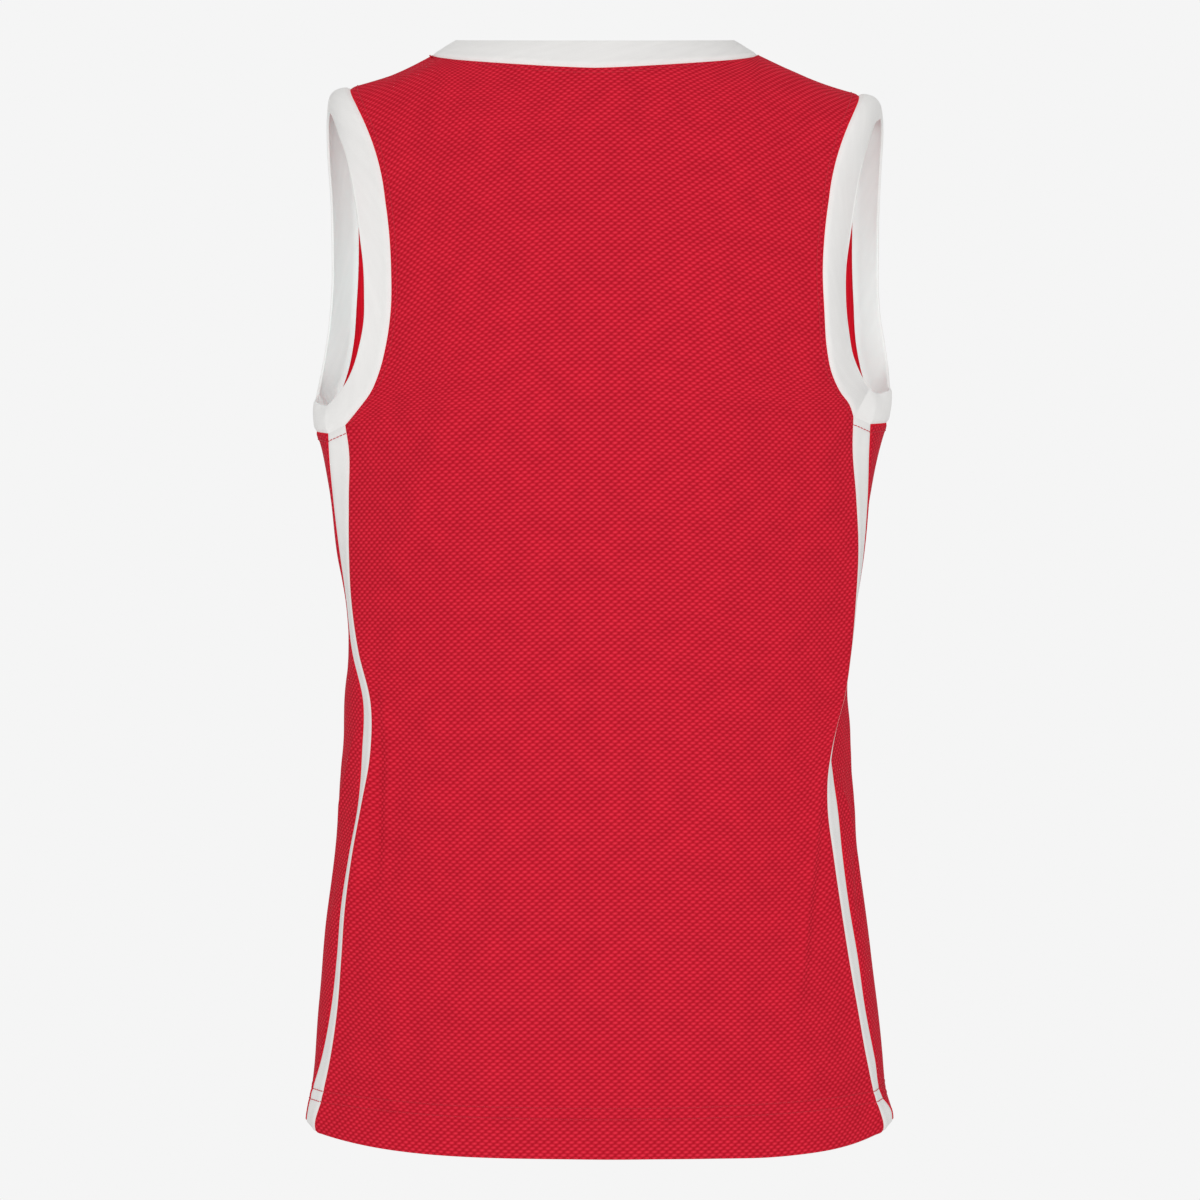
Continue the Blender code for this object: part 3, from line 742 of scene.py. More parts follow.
def armhole_loop(side, pieces, underarm_row):
    """Seam of an armhole band as a closed run of points, with the cloth's normals there.

    It crosses the underarm, climbs one panel's edge to the shoulder tip and comes down the other.
    """
    edges = {"back": 0 if side == "left" else -1, "front": -1 if side == "left" else 0}
    underarm = [f"stripe_front_{side}", f"side_insert_{side}", f"stripe_back_{side}"]
    climbed, descended = ("back", "front") if side == "left" else ("front", "back")
    order = underarm if side == "left" else underarm[::-1]
    parts = [(pieces[name], (-1, slice(None))) for name in order]
    parts.append((pieces[f"{climbed}_panel"], (slice(underarm_row, None), edges[climbed])))
    down = slice(None, underarm_row - 1, -1)
    parts.append((pieces[f"{descended}_panel"], (down, edges[descended])))
    points = [piece["surface"][place][:-1] for piece, place in parts]
    normals = [piece["normals"][place][:-1] for piece, place in parts]
    points.append(points[0][:1])
    normals.append(normals[0][:1])
    return np.concatenate(points), np.concatenate(normals)


def free_edge(side, points):
    """Free edge of an armhole band, a point for each point of its seam.

    Each row of the table stands over the place on the seam nearest to it, and a smooth closed
    curve runs through the rows.
    """
    rows = np.array(FREE_EDGE[side], float)
    place = runs(points[None], 1)[0]
    fine = np.linspace(0, place[-1], FREE_EDGE_SAMPLES)
    seam = np.stack([np.interp(fine, place, points[:, axis]) for axis in range(3)], axis=-1)
    nearest = fine[np.linalg.norm(seam[None] - rows[:, None], axis=-1).argmin(axis=1)]
    keyed = np.column_stack([nearest, rows])[np.argsort(nearest)]
    before, after = keyed[-3:].copy(), keyed[:3].copy()
    before[:, 0] -= place[-1]
    after[:, 0] += place[-1]
    keyed = np.concatenate([before, keyed, after])
    return np.stack([follow(keyed, axis, place) for axis in (1, 2, 3)], axis=-1)


def armhole_band(side, points, normals):
    """Outer surface of an armhole band: quadratic arcs that carry the cloth on past the seam."""
    ring = np.concatenate([points[-2:-1], points, points[1:2]])
    run_bell, normal_bell, outward_bell = ARMHOLE_BELLS
    tangent = ring_smoothed(unit(ring[2:] - ring[:-2]), points, run_bell)
    normals = ring_smoothed(normals, points, normal_bell)
    outward = ring_smoothed(unit(np.cross(normals, tangent)), points, outward_bell)
    over = np.clip(normals[:, 2:], 0, 1)
    outward = unit(outward + SHOULDER_LIFT * over * normals)
    edge = free_edge(side, points)
    reach = np.linalg.norm(edge - points, axis=1, keepdims=True)
    lead = BAND_LEAD + SHOULDER_LEAD * over
    pull = points + outward * reach * lead
    t = np.linspace(0, 1, BAND_ROWS + 1)[:, None, None]
    return (1 - t) ** 2 * points + 2 * t * (1 - t) * pull + t**2 * edge


def neck_band(back, front, across):
    """Outer surface of the neck band: straight from the seam to a free edge of two half ovals."""
    inside = np.flatnonzero(np.abs(across) <= NECK_SHARE + 1e-9)
    turn = across[inside] / NECK_SHARE * np.pi / 2
    reverse = len(across) - 1 - inside
    seam = np.concatenate([front[-1, inside], back[-1, reverse][::-1][1:]])
    halves = []
    for face, turned in (("front", turn), ("back", turn[::-1])):
        depth, height = NECK_EDGE[face]
        x = NECK_CENTRE + NECK_EDGE_SIDE[0] * np.sin(turned)
        y = NECK_EDGE_SIDE[1] + (depth - NECK_EDGE_SIDE[1]) * np.cos(turned)
        z = NECK_EDGE_SIDE[2] + (height - NECK_EDGE_SIDE[2]) * np.cos(turned)
        halves.append(np.stack([x, y, z], axis=-1))
    edge = np.concatenate([halves[0], halves[1][1:]])
    share = np.linspace(0, 1, BAND_ROWS + 1)[:, None, None]
    return seam[None] * (1 - share) + edge[None] * share


def share_normals(pieces):
    """Gives points that several pieces have in common one normal, eased into each piece."""
    borders = []
    for name, piece in pieces.items():
        for edge in piece["sewn"]:
            borders.append((name, edge, EDGE_PLACES[edge]))
    points = np.concatenate([pieces[name]["surface"][place] for name, _, place in borders])
    normals = np.concatenate([pieces[name]["normals"][place] for name, _, place in borders])
    keys = np.round(points / WELD).astype(np.int64)
    _, index = np.unique(keys, axis=0, return_inverse=True)
    index = index.reshape(-1)
    together = np.zeros((index.max() + 1, 3))
    np.add.at(together, index, normals)
    shared = unit(together)[index]
    start = 0
    changes = {name: np.zeros_like(piece["normals"]) for name, piece in pieces.items()}
    weights = {name: np.zeros(piece["normals"].shape[:2]) for name, piece in pieces.items()}
    for name, edge, place in borders:
        piece = pieces[name]
        own = piece["normals"][place]
        change = shared[start : start + len(own)] - own
        start += len(own)
        change = change[None] if edge in ("top", "bottom") else change[:, None]
        near = np.exp(-((piece["distance"][edge] / NORMAL_EASE) ** 2))
        changes[name] += near[..., None] ** 2 * change
        weights[name] += near
    for name, piece in pieces.items():
        eased = changes[name] / np.maximum(weights[name], 1e-6)[..., None]
        piece["normals"] = unit(piece["normals"] + eased)


def crease_relief(name, surface):
    """Sum of the narrow creases on a piece, laid across and up it, or along and up its side."""
    if name.endswith("_panel"):
        return fold_relief(CREASES[name.split("_")[0]], surface[..., 0], surface[..., 2])
    return fold_relief(CREASES[name.split("_")[-1]], surface[..., 1], surface[..., 2])


def wave_relief(surface):
    """Sum of slow sine waves over the cloth, by its place round and up the body."""
    round_body = surface[..., 0] + 0.6 * surface[..., 1]
    relief = np.zeros(surface.shape[:2])
    for round_rate, up_rate, phase, height in WAVES:
        turn = 2 * np.pi * MM * (round_rate * round_body + up_rate * surface[..., 2])
        relief += height * np.sin(turn + phase)
    return relief


def finish_surface(name, piece, sizes):
    """Moves the outer surface along its normals by its seams, hem lines, creases and waves.

    Seams are a narrow dip with a low roll beside it, by the distance to the nearest sewn edge. Hem
    lines are level grooves at their heights above the hem. A band is crowned along its middle.
    """
    distance = piece["distance"]
    nearest = np.minimum.reduce([distance[edge] for edge in piece["sewn"]])
    height, place, width, fade = SEAM_ROLL
    shift = -sizes.dip * np.exp(-((nearest / SEAM_DIP_WIDTH) ** 2))
    roll = np.exp(-(((nearest - place) / width) ** 2))
    shift = shift + height * roll * (1 - np.exp(-((nearest / fade) ** 2)))
    if piece["hemmed"]:
        up = piece["surface"][..., 2] - HEM_HEIGHT
        depth, width = HEM_GROOVE
        for line in (sizes.line_low, sizes.line_high):
            shift = shift - depth * np.exp(-(((up - line) / width) ** 2))
        shift = shift + HEM_STAND * np.exp(-((np.clip(up, 0, 200) / sizes.line_low) ** 4))
    if name.endswith("_panel") or name.startswith("side_insert"):
        free = 1 - np.exp(-((nearest / CREASE_CLEAR) ** 2))
        relief = crease_relief(name, piece["surface"]) + wave_relief(piece["surface"])
        shift = shift + free * sizes.fold * relief
    if piece["wrapped"]:
        share = distance["bottom"] / distance["bottom"][-1:]
        shift = shift + BAND_CROWN * np.sin(np.pi * np.clip(share, 0, 1))
    piece["surface"] = piece["surface"] + shift[..., None] * piece["normals"]


@lru_cache(maxsize=2)
def cut_jersey(sizes):
    """Outer surface, normals, wall and edges of every cut-and-sewn piece, in millimetres.

    The wall passes from the cloth's to the hem's as a logistic step at the hem's own depth.
    """
    below, level = level_samples(sizes.hem_depth)
    across = across_samples()
    pieces = {}

    def add(name, surface, hemmed):
        if hemmed:
            past = (surface[..., 2:] - HEM_HEIGHT - sizes.hem_depth) / HEM_EDGE_WIDTH
            turned_up = 1 / (1 + np.exp(np.clip(past, -50, 50)))
            wall = sizes.wall + (sizes.hem_wall - sizes.wall) * turned_up
        else:
            wall = sizes.band_wall
        pieces[name] = {
            "surface": surface,
            "normals": normals_of(surface, wrapped=not hemmed),
            "distance": edge_distances(surface),
            "wall": wall,
            "sewn": ("first", "last", "top") if hemmed else ("bottom",),
            "wrapped": not hemmed,
            "hemmed": hemmed,
            "body_rows": len(below),
        }

    add("back_panel", panel("back", across[::-1], level), True)
    add("front_panel", panel("front", across, level), True)
    for side in ("left", "right"):
        for face in ("front", "back"):
            add(f"stripe_{face}_{side}", stripe(side, face, below, sizes.stripe_width), True)
        add(f"side_insert_{side}", insert(side, below, sizes.stripe_width), True)
        points, normals = armhole_loop(side, pieces, len(below) - 1)
        add(f"armhole_band_{side}", armhole_band(side, points, normals), False)
    back, front = pieces["back_panel"]["surface"], pieces["front_panel"]["surface"]
    add("neck_band", neck_band(back, front, across), False)
    share_normals(pieces)
    for name, piece in pieces.items():
        finish_surface(name, piece, sizes)
    return pieces


def flat_places(surface, piece):
    """Place of each point on the flat cloth, and its distance to the nearest sewn edge.

    The place is the length along its row from the middle, and the length up its column. The
    inner face takes the same places with a distance of zero, as the knit is plain there too.
    """
    along, up = runs(surface, 1), runs(surface, 0)
    if not piece["wrapped"]:
        along = along - along[:, [surface.shape[1] // 2]]
    nearest = np.minimum.reduce([piece["distance"][edge] for edge in piece["sewn"]])
    return np.stack([along, up, nearest], axis=-1)


def rim_rows(start, end, away):
    """Rows of a half circle from one face of the wall to the other, bulging away from the cloth."""
    turn = (np.pi * np.arange(1, RIM_STEPS + 1) / (RIM_STEPS + 1))[:, None, None]
    middle, half = (start + end) / 2, (start - end) / 2
    reach = np.linalg.norm(half, axis=-1, keepdims=True) * away
    return middle + np.cos(turn) * half + np.sin(turn) * reach


def shell_arrays(piece):
    """Vertices, faces and flat places of a closed shell.

    One closed ladder of rows goes up the outer face, over the rim, down the inner face and under
    the other rim. Each two rows are joined by quads, and the sides are capped.
    """
    outer = piece["surface"].copy()
    wall = np.broadcast_to(piece["wall"], outer.shape[:2] + (1,))
    ends = {"bottom": (0, 1), "top": (-1, -2)}
    away = {}
    for edge, (row, inner_row) in ends.items():
        away[edge] = unit(outer[row] - outer[inner_row])
        if edge not in piece["sewn"]:
            outer[row] -= RIM_INSET * wall[row] * away[edge]
    inner = outer - wall * piece["normals"]
    flat = flat_places(outer, piece)
    plain = flat * (1, 1, 0)
    ladder, places = [outer], [flat]
    if "top" not in piece["sewn"]:
        ladder.append(rim_rows(outer[-1], inner[-1], away["top"]))
        places.append(np.repeat(plain[-1:], RIM_STEPS, axis=0))
    inner_start = sum(len(rows) for rows in ladder)
    ladder.append(inner[::-1])
    places.append(plain[::-1])
    if "bottom" not in piece["sewn"]:
        ladder.append(rim_rows(inner[0], outer[0], away["bottom"]))
        places.append(np.repeat(plain[:1], RIM_STEPS, axis=0))
    points, places = np.concatenate(ladder), np.concatenate(places)
    columns = points.shape[1] - (1 if piece["wrapped"] else 0)
    i = np.arange(len(points))[:, None]
    j = np.arange(columns if piece["wrapped"] else columns - 1)[None]
    after, beside = (i + 1) % len(points), (j + 1) % columns
    here, above = i * columns, after * columns
    quads = np.stack([here + j, here + beside, above + beside, above + j], axis=-1)
    quad_places = np.stack(
        [places[i, j], places[i, j + 1], places[after, j + 1], places[after, j]], axis=2
    )
    faces = quads.reshape(-1, 4).tolist()
    loop_places = [quad_places.reshape(-1, 3)]
    if not piece["wrapped"]:
        row = np.arange(len(outer) - 1)
        facing = inner_start + len(outer) - 1 - row
        side = np.stack([row, row + 1, facing - 1, facing], axis=-1)
        rims = []
        if "top" not in piece["sewn"]:
            rims.append(np.arange(len(outer) - 1, inner_start + 1))
        if "bottom" not in piece["sewn"]:
            rims.append(np.append(np.arange(inner_start + len(outer) - 1, len(points)), 0))
        vertex_places = places[:, :columns].reshape(-1, 3)
        for column, turned in ((0, 1), (columns - 1, -1)):
            caps = (side * columns + column)[:, ::turned].tolist()
            caps += [(rim * columns + column)[::turned].tolist() for rim in rims]
            faces += caps
            loop_places.append(vertex_places[np.concatenate(caps)])
    return points[:, :columns].reshape(-1, 3) * MM, faces, np.concatenate(loop_places) * MM


def link_mesh(name, vertices, faces, material, loop_places=None):
    """Puts arrays of vertices, faces and flat places into a new object at the origin."""
    mesh = bpy.data.meshes.new(name)
    mesh.from_pydata(vertices, [], faces)
    if loop_places is not None:
        layer = mesh.uv_layers.new(name="cloth")
        layer.uv.foreach_set("vector", loop_places[:, :2].astype(np.float32).ravel())
        seam = mesh.attributes.new("seam", "FLOAT", "CORNER")
        seam.data.foreach_set("value", loop_places[:, 2].astype(np.float32))
    mesh.shade_smooth()
    mesh.set_sharp_from_angle(angle=np.radians(50))
    mesh.materials.append(material)
    made = bpy.data.objects.new(name, mesh)
    bpy.context.scene.collection.objects.link(made)
    return made


def build_cloth(context, node, material):
    """One sewn piece in its CAD node's place, which must lie within a tolerance of the node's box.
    """
    piece = cut_jersey(sizes_of(context))[node]
    vertices, faces, loop_places = shell_arrays(piece)
    made = link_mesh(f"{node}_cloth", vertices, faces, material, loop_places)
    low, high = (np.array(corner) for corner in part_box(node))
    places = np.empty(len(made.data.vertices) * 3, np.float32)
    made.data.vertices.foreach_get("co", places)
    places = places.reshape(-1, 3)
    apart = max(np.abs(places.min(axis=0) - low).max(), np.abs(places.max(axis=0) - high).max())
    if apart > BOX_TOLERANCE:
        raise RuntimeError(f"{node}: the cloth is {apart * 1000:.1f} mm off its node's box")
    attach(made, "root")
    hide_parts(node)


def seam_path(grid, rows, columns):
    """Points of a grid at fractional rows and columns, blended from the four round each."""
    low_r = np.clip(np.floor(rows).astype(int), 0, grid.shape[0] - 2)
    low_c = np.clip(np.floor(columns).astype(int), 0, grid.shape[1] - 2)
    r, c = (rows - low_r)[:, None], (columns - low_c)[:, None]
    lower = grid[low_r, low_c] * (1 - c) + grid[low_r, low_c + 1] * c
    upper = grid[low_r + 1, low_c] * (1 - c) + grid[low_r + 1, low_c + 1] * c
    return lower * (1 - r) + upper * r


def place_at(distance, wanted):
    """Fractional index along the first axis at which each column of distances reaches a length."""
    beyond = np.argmax(distance >= wanted, axis=0)
    beyond = np.clip(beyond, 1, len(distance) - 1)
    every = np.arange(distance.shape[1])
    low, high = distance[beyond - 1, every], distance[beyond, every]
    return beyond - 1 + np.clip((wanted - low) / np.maximum(high - low, 1e-6), 0, 1)


def path_below_top(piece, offset):
    """Run across a piece, this far below its top edge."""
    rows = len(piece["surface"]) - 1 - place_at(piece["distance"]["top"][::-1], offset)
    columns = np.arange(piece["surface"].shape[1], dtype=float)
    return path_points(piece, rows, columns)


def path_points(piece, rows, columns):
    """Points and normals of a piece at fractional rows and columns."""
    return seam_path(piece["surface"], rows, columns), seam_path(piece["normals"], rows, columns)


def path_beside_edge(piece, edge, offset, underarm_row):
    """Run up a panel beside its armhole edge, which eases in from the flank seam at its foot."""
    top = piece["distance"]["top"][:, 0 if edge == "first" else -1]
    foot = np.interp(top[underarm_row] + offset, top[::-1], np.arange(len(top))[::-1])
    rows = np.concatenate([[foot], np.arange(np.ceil(foot + 0.2), len(top))])
    height = np.interp(rows, np.arange(len(top)), -top)
    ease = np.clip((height - height[0]) / (1.6 * offset), 0, 1)
    inset = offset * ease * (2 - ease)
    whole = np.clip(np.round(rows).astype(int), 0, len(top) - 1)
    distance = piece["distance"][edge][whole]
    ordered = distance if edge == "first" else distance[:, ::-1]
    columns = place_at(ordered.T, inset)
    columns = columns if edge == "first" else piece["surface"].shape[1] - 1 - columns
    return path_points(piece, rows, columns)


def armhole_stitch_path(pieces, side, offset):
    """Closed run round an armhole, this far outside the band's seam."""
    underarm_row = pieces[f"stripe_back_{side}"]["surface"].shape[0] - 1
    back_edge, front_edge = ("first", "last") if side == "left" else ("last", "first")
    names = [f"stripe_front_{side}", f"side_insert_{side}", f"stripe_back_{side}"]
    parts = [path_below_top(pieces[name], offset) for name in names]
    if side == "right":
        parts = [(points[::-1], normals[::-1]) for points, normals in parts]
    parts.append(path_beside_edge(pieces["back_panel"], back_edge, offset, underarm_row))
    points, normals = path_beside_edge(pieces["front_panel"], front_edge, offset, underarm_row)
    parts.append((points[::-1], normals[::-1]))
    return tuple(np.concatenate([part[k] for part in parts]) for k in (0, 1))


def neck_stitch_path(pieces, offset):
    """Closed run round the neck, this far below the neck band's seam."""
    across = across_samples()
    inside = np.flatnonzero(np.abs(across) <= NECK_SHARE + 1e-9)
    parts = []
    for name in ("front_panel", "back_panel"):
        points, normals = path_below_top(pieces[name], offset)
        columns = inside if name == "front_panel" else (len(across) - 1 - inside)[::-1]
        parts.append((points[columns], normals[columns]))
    return tuple(np.concatenate([part[k] for part in parts]) for k in (0, 1))


def hem_stitch_path(pieces, height):
    """Closed run round the hem at this height above its free edge, piece after piece."""
    parts = []
    for name in HEM_ORDER:
        piece = pieces[name]
        rows = place_at(piece["surface"][..., 2] - HEM_HEIGHT, height)
        parts.append(path_points(piece, rows, np.arange(piece["surface"].shape[1], dtype=float)))
    return tuple(np.concatenate([part[k] for part in parts]) for k in (0, 1))


def stitches_along(path, pitch, length, thickness, start):
    """Vertices and faces of a row of stitches along a closed path, numbered from START.

    Each stitch is a short five-sided tube that rises out of the cloth and sinks back at its ends.
    """
    points, normals = path
    keep = np.concatenate([[True], np.linalg.norm(np.diff(points, axis=0), axis=1) > 0.05])
    points, normals = points[keep], normals[keep]
    points = np.concatenate([points, points[:1]])
    normals = np.concatenate([normals, normals[:1]])
    place = runs(points[None], 1)[0]
    count = int(round(place[-1] / pitch))
    centres = (np.arange(count) + 0.5) * place[-1] / count
    where = np.mod(centres[:, None] + STITCH_STATIONS[None] * length, place[-1])
    centre = np.stack([np.interp(where, place, points[:, k]) for k in range(3)], axis=-1)
    normal = unit(np.stack([np.interp(where, place, normals[:, k]) for k in range(3)], axis=-1))
    stations = len(STITCH_STATIONS)
    tangent = unit(np.repeat((centre[:, -1] - centre[:, 0])[:, None], stations, axis=1))
    beside = unit(np.cross(normal, tangent))
    radius = thickness * STITCH_RADIUS
    turn = 2 * np.pi * np.arange(STITCH_SIDES) / STITCH_SIDES
    up = thickness * STITCH_LIFT[:, None] + radius[:, None] * np.cos(turn)[None]
    out = radius[:, None] * np.sin(turn)[None]
    ring = centre[:, :, None] + up[None, ..., None] * normal[:, :, None]
    ring = ring + out[None, ..., None] * beside[:, :, None]
    i = np.arange(stations - 1)[:, None] * STITCH_SIDES
    j = np.arange(STITCH_SIDES)
    k = (j + 1) % STITCH_SIDES
    above = i + STITCH_SIDES
    quads = np.stack([i + j, i + k, above + k, above + j], axis=-1).reshape(-1, 4)
    caps = np.stack([j[::-1], j + (stations - 1) * STITCH_SIDES])
    offset = (start + np.arange(count) * stations * STITCH_SIDES)[:, None, None]
    faces = (offset + quads[None]).reshape(-1, 4).tolist()
    faces += (offset + caps[None]).reshape(-1, STITCH_SIDES).tolist()
    return ring.reshape(-1, 3), faces


def build_stitching(context, name, paths, thread):
    """One object of several rows of stitches."""
    sewing = context.scene.jersey_sewing
    sizes = [size / MM for size in (sewing.pitch, sewing.length, sewing.thickness)]
    vertices, faces = [], []
    for path in paths:
        start = sum(len(rows) for rows in vertices)
        row, row_faces = stitches_along(path, *sizes, start)
        vertices.append(row)
        faces += row_faces
    made = link_mesh(name, np.concatenate(vertices) * MM, faces, thread)
    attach(made, "root")


def start_material(name, colour, roughness, specular=0.1):
    """A new material, its node tree and its shader, with plain values on the shader itself."""
    made = bpy.data.materials.new(name)
    made.use_nodes = True
    shader = made.node_tree.nodes["Principled BSDF"]
    shader.inputs["Base Color"].default_value = (*colour, 1.0)
    shader.inputs["Roughness"].default_value = roughness
    shader.inputs["Specular IOR Level"].default_value = specular
    made.diffuse_color = (*colour, 1.0)
    return made, made.node_tree, shader


def maths(tree, operation, *values):
    """A maths node fed by sockets or plain numbers."""
    node = tree.nodes.new("ShaderNodeMath")
    node.operation = operation
    for socket, value in zip(node.inputs, values):
        if isinstance(value, (int, float)):
            socket.default_value = value
        else:
            tree.links.new(value, socket)
    return node.outputs[0]


def wave(tree, place, pitch, lean=None, lean_pitch=1.0):
    """Cosine that repeats at this pitch along a place, or along a lean of two places."""
    turn = maths(tree, "MULTIPLY", place, 2 * np.pi / pitch)
    if lean is not None:
        turn = maths(tree, "MULTIPLY_ADD", lean, 2 * np.pi / lean_pitch, turn)
    return maths(tree, "COSINE", turn)


def weighted(tree, start, *terms):
    """A number plus each socket times its weight."""
    total = start
    for socket, weight in terms:
        total = maths(tree, "MULTIPLY_ADD", socket, weight, total)
    return total


def noise_over(tree, place, scale, detail=2.0):
    """A noise node over a place, with this many features a metre."""
    noise = tree.nodes.new("ShaderNodeTexNoise")
    noise.inputs["Scale"].default_value = scale
    noise.inputs["Detail"].default_value = detail
    tree.links.new(place, noise.inputs["Vector"])
    return noise


def cloth_place(tree, wander):
    """Sockets of the flat cloth's place across and up, in metres, wandering by a slow noise."""
    flat = tree.nodes.new("ShaderNodeUVMap")
    flat.uv_map = "cloth"
    noise = noise_over(tree, flat.outputs["UV"], 45.0)
    moved = tree.nodes.new("ShaderNodeVectorMath")
    moved.operation = "MULTIPLY_ADD"
    moved.inputs[1].default_value = (wander, wander, 0.0)
    tree.links.new(noise.outputs["Color"], moved.inputs[0])
    tree.links.new(flat.outputs["UV"], moved.inputs[2])
    parts = tree.nodes.new("ShaderNodeSeparateXYZ")
    tree.links.new(moved.outputs[0], parts.inputs[0])
    return flat.outputs["UV"], parts.outputs["X"], parts.outputs["Y"]


def ramp(tree, factor, *stops):
    """Colour through stops of position and colour as the factor goes up."""
    node = tree.nodes.new("ShaderNodeValToRGB")
    elements = node.color_ramp.elements
    while len(elements) < len(stops):
        elements.new(0.5)
    for element, (position, colour) in zip(elements, stops):
        element.position = position
        element.color = (*colour, 1.0)
    tree.links.new(factor, node.inputs["Fac"])
    return node.outputs["Color"]


def mixed(tree, factor, first, second):
    """The first colour where the factor is 0, and the second where it is 1."""
    node = tree.nodes.new("ShaderNodeMix")
    node.data_type = "RGBA"
    tree.links.new(factor, node.inputs["Factor"])
    for socket, value in ((node.inputs[6], first), (node.inputs[7], second)):
        if isinstance(value, bpy.types.NodeSocket):
            tree.links.new(value, socket)
        else:
            socket.default_value = (*value, 1.0)
    return node.outputs[2]


def away_from_seam(tree, start, end):
    """0 up to START metres from a sewn edge and 1 past END."""
    seam = tree.nodes.new("ShaderNodeAttribute")
    seam.attribute_name = "seam"
    shade = tree.nodes.new("ShaderNodeMapRange")
    shade.interpolation_type = "SMOOTHSTEP"
    shade.inputs["From Min"].default_value = start
    shade.inputs["From Max"].default_value = end
    tree.links.new(seam.outputs["Fac"], shade.inputs["Value"])
    return shade.outputs["Result"]


def add_bump(tree, shader, height, depth):
    """Bump of this depth in metres on the shader's normal."""
    bump = tree.nodes.new("ShaderNodeBump")
    bump.inputs["Strength"].default_value = 1.0
    bump.inputs["Distance"].default_value = depth
    tree.links.new(height, bump.inputs["Height"])
    tree.links.new(bump.outputs["Normal"], shader.inputs["Normal"])


def mottled(tree, colour, place, scale, low, high):
    """The colour times a slow noise between two brightnesses."""
    noise = noise_over(tree, place, scale, 3.0)
    shade = tree.nodes.new("ShaderNodeMapRange")
    shade.inputs["From Min"].default_value = 0.3
    shade.inputs["From Max"].default_value = 0.7
    shade.inputs["To Min"].default_value = low
    shade.inputs["To Max"].default_value = high
    tree.links.new(noise.outputs["Fac"], shade.inputs["Value"])
    scaled = tree.nodes.new("ShaderNodeVectorMath")
    scaled.operation = "SCALE"
    tree.links.new(colour, scaled.inputs[0])
    tree.links.new(shade.outputs["Result"], scaled.inputs["Scale"])
    return scaled.outputs[0]


def birdseye_knit(name, finish, knit):
    """Red birdseye mesh knit: flat dots in staggered rows joined by slanting floats, with painted
    light.

    The height is a sum of three cosines: one slanting up to the right, a weaker one slanting up
    to the left, and one up the rows. All three peak at the dots. The colour follows the height as
    painted light: a painted highlight on the dots and painted shade in the pits. Along the seams
    and on the inner face the knit shows only its fine upright wales, with painted shade in their
    troughs.
    """
    tree, shader = start_material(name, finish.knit_dot_highlit, 0.75, 0.03)[1:]
    place, across, up = cloth_place(tree, 0.0008)
    rise = 2 * knit.row_pitch
    floats = wave(tree, across, knit.dot_pitch, up, -rise)
    crossing = wave(tree, across, knit.dot_pitch, up, rise)
    rows = wave(tree, up, knit.row_pitch)
    height = weighted(tree, 0.5, (floats, 0.21), (crossing, 0.16), (rows, 0.13))
    # Painted highlight on the dots and painted shade in the pits: the colour follows the height
    middle = tuple((dot + pit) / 2 for dot, pit in zip(finish.knit_dot_highlit, finish.knit_pit_shaded))
    stops = ((0.28, finish.knit_pit_shaded), (0.6, middle), (0.95, finish.knit_dot_highlit))
    wales = weighted(tree, 0.5, (wave(tree, across, knit.dot_pitch / 2), 0.5))
    # Painted shade in the troughs between the wales, at 0.84 of the plain red
    dark = tuple(0.84 * part for part in finish.knit_edge)
    plain = ramp(tree, wales, (0.0, dark), (0.9, finish.knit_edge))
    inner = away_from_seam(tree, *PLAIN_EDGE)
    colour = mixed(tree, inner, plain, ramp(tree, height, *stops))
    colour = mottled(tree, colour, place, 60.0, 0.95, 1.05)
    tree.links.new(colour, shader.inputs["Base Color"])
    relief = maths(tree, "MULTIPLY", height, inner)
    add_bump(tree, shader, weighted(tree, relief, (wales, 0.2)), knit.dot_height)


def white_knit(name, colour, roughness, columns, courses, stops, dark, patches, depth):
    """White knit: upright columns crossed by finer courses, each with its period and weight.

    The colour is painted shade in the troughs: it goes from the dark share of itself there to
    itself on the crests, between the two stops of the height.
    """
    tree, shader = start_material(name, colour, roughness)[1:]
    place, across, up = cloth_place(tree, 0.0003)
    waves = (wave(tree, across, columns[0]), wave(tree, up, courses[0]))
    height = weighted(tree, 0.5, (waves[0], columns[1]), (waves[1], courses[1]))
    # Painted shade: the troughs of the columns and courses are painted darker
    shade = tuple(dark * part for part in colour)
    colour = ramp(tree, height, (stops[0], shade), (stops[1], colour))
    colour = mottled(tree, colour, place, patches, 0.98, 1.02)
    tree.links.new(colour, shader.inputs["Base Color"])
    add_bump(tree, shader, height, depth)


def plain_knit(name, finish, knit):
    """White stripe knit: fine upright wales crossed by finer courses."""
    columns, courses = (knit.wale_pitch, 0.33), (0.8 * knit.wale_pitch, 0.17)
    # The troughs get painted shade at 0.93 of the white
    white_knit(
        name, finish.stripe, 0.8, columns, courses,
        stops=(0.1, 0.8), dark=0.93, patches=80.0, depth=STRIPE_BUMP,
    )


def rib_knit(name, finish, knit):
    """White rib knit: round ribs that run across the band, with fine courses along them."""
    columns, courses = (knit.rib_pitch, 0.38), (0.7 * knit.rib_pitch, 0.12)
    # The troughs get painted shade at 0.92 of the white
    white_knit(
        name, finish.rib, 0.82, columns, courses,
        stops=(0.0, 0.7), dark=0.92, patches=70.0, depth=RIB_BUMP,
    )


KNITS = {
    "red birdseye knit": birdseye_knit,
    "white stripe knit": plain_knit,
    "white rib knit": rib_knit,
}


def knit_of(context, name):
    """The knit of this name, made the first time that a piece needs it."""
    if name not in bpy.data.materials:
        KNITS[name](name, context.scene.jersey_finish, context.scene.jersey_knit)
    return bpy.data.materials[name]


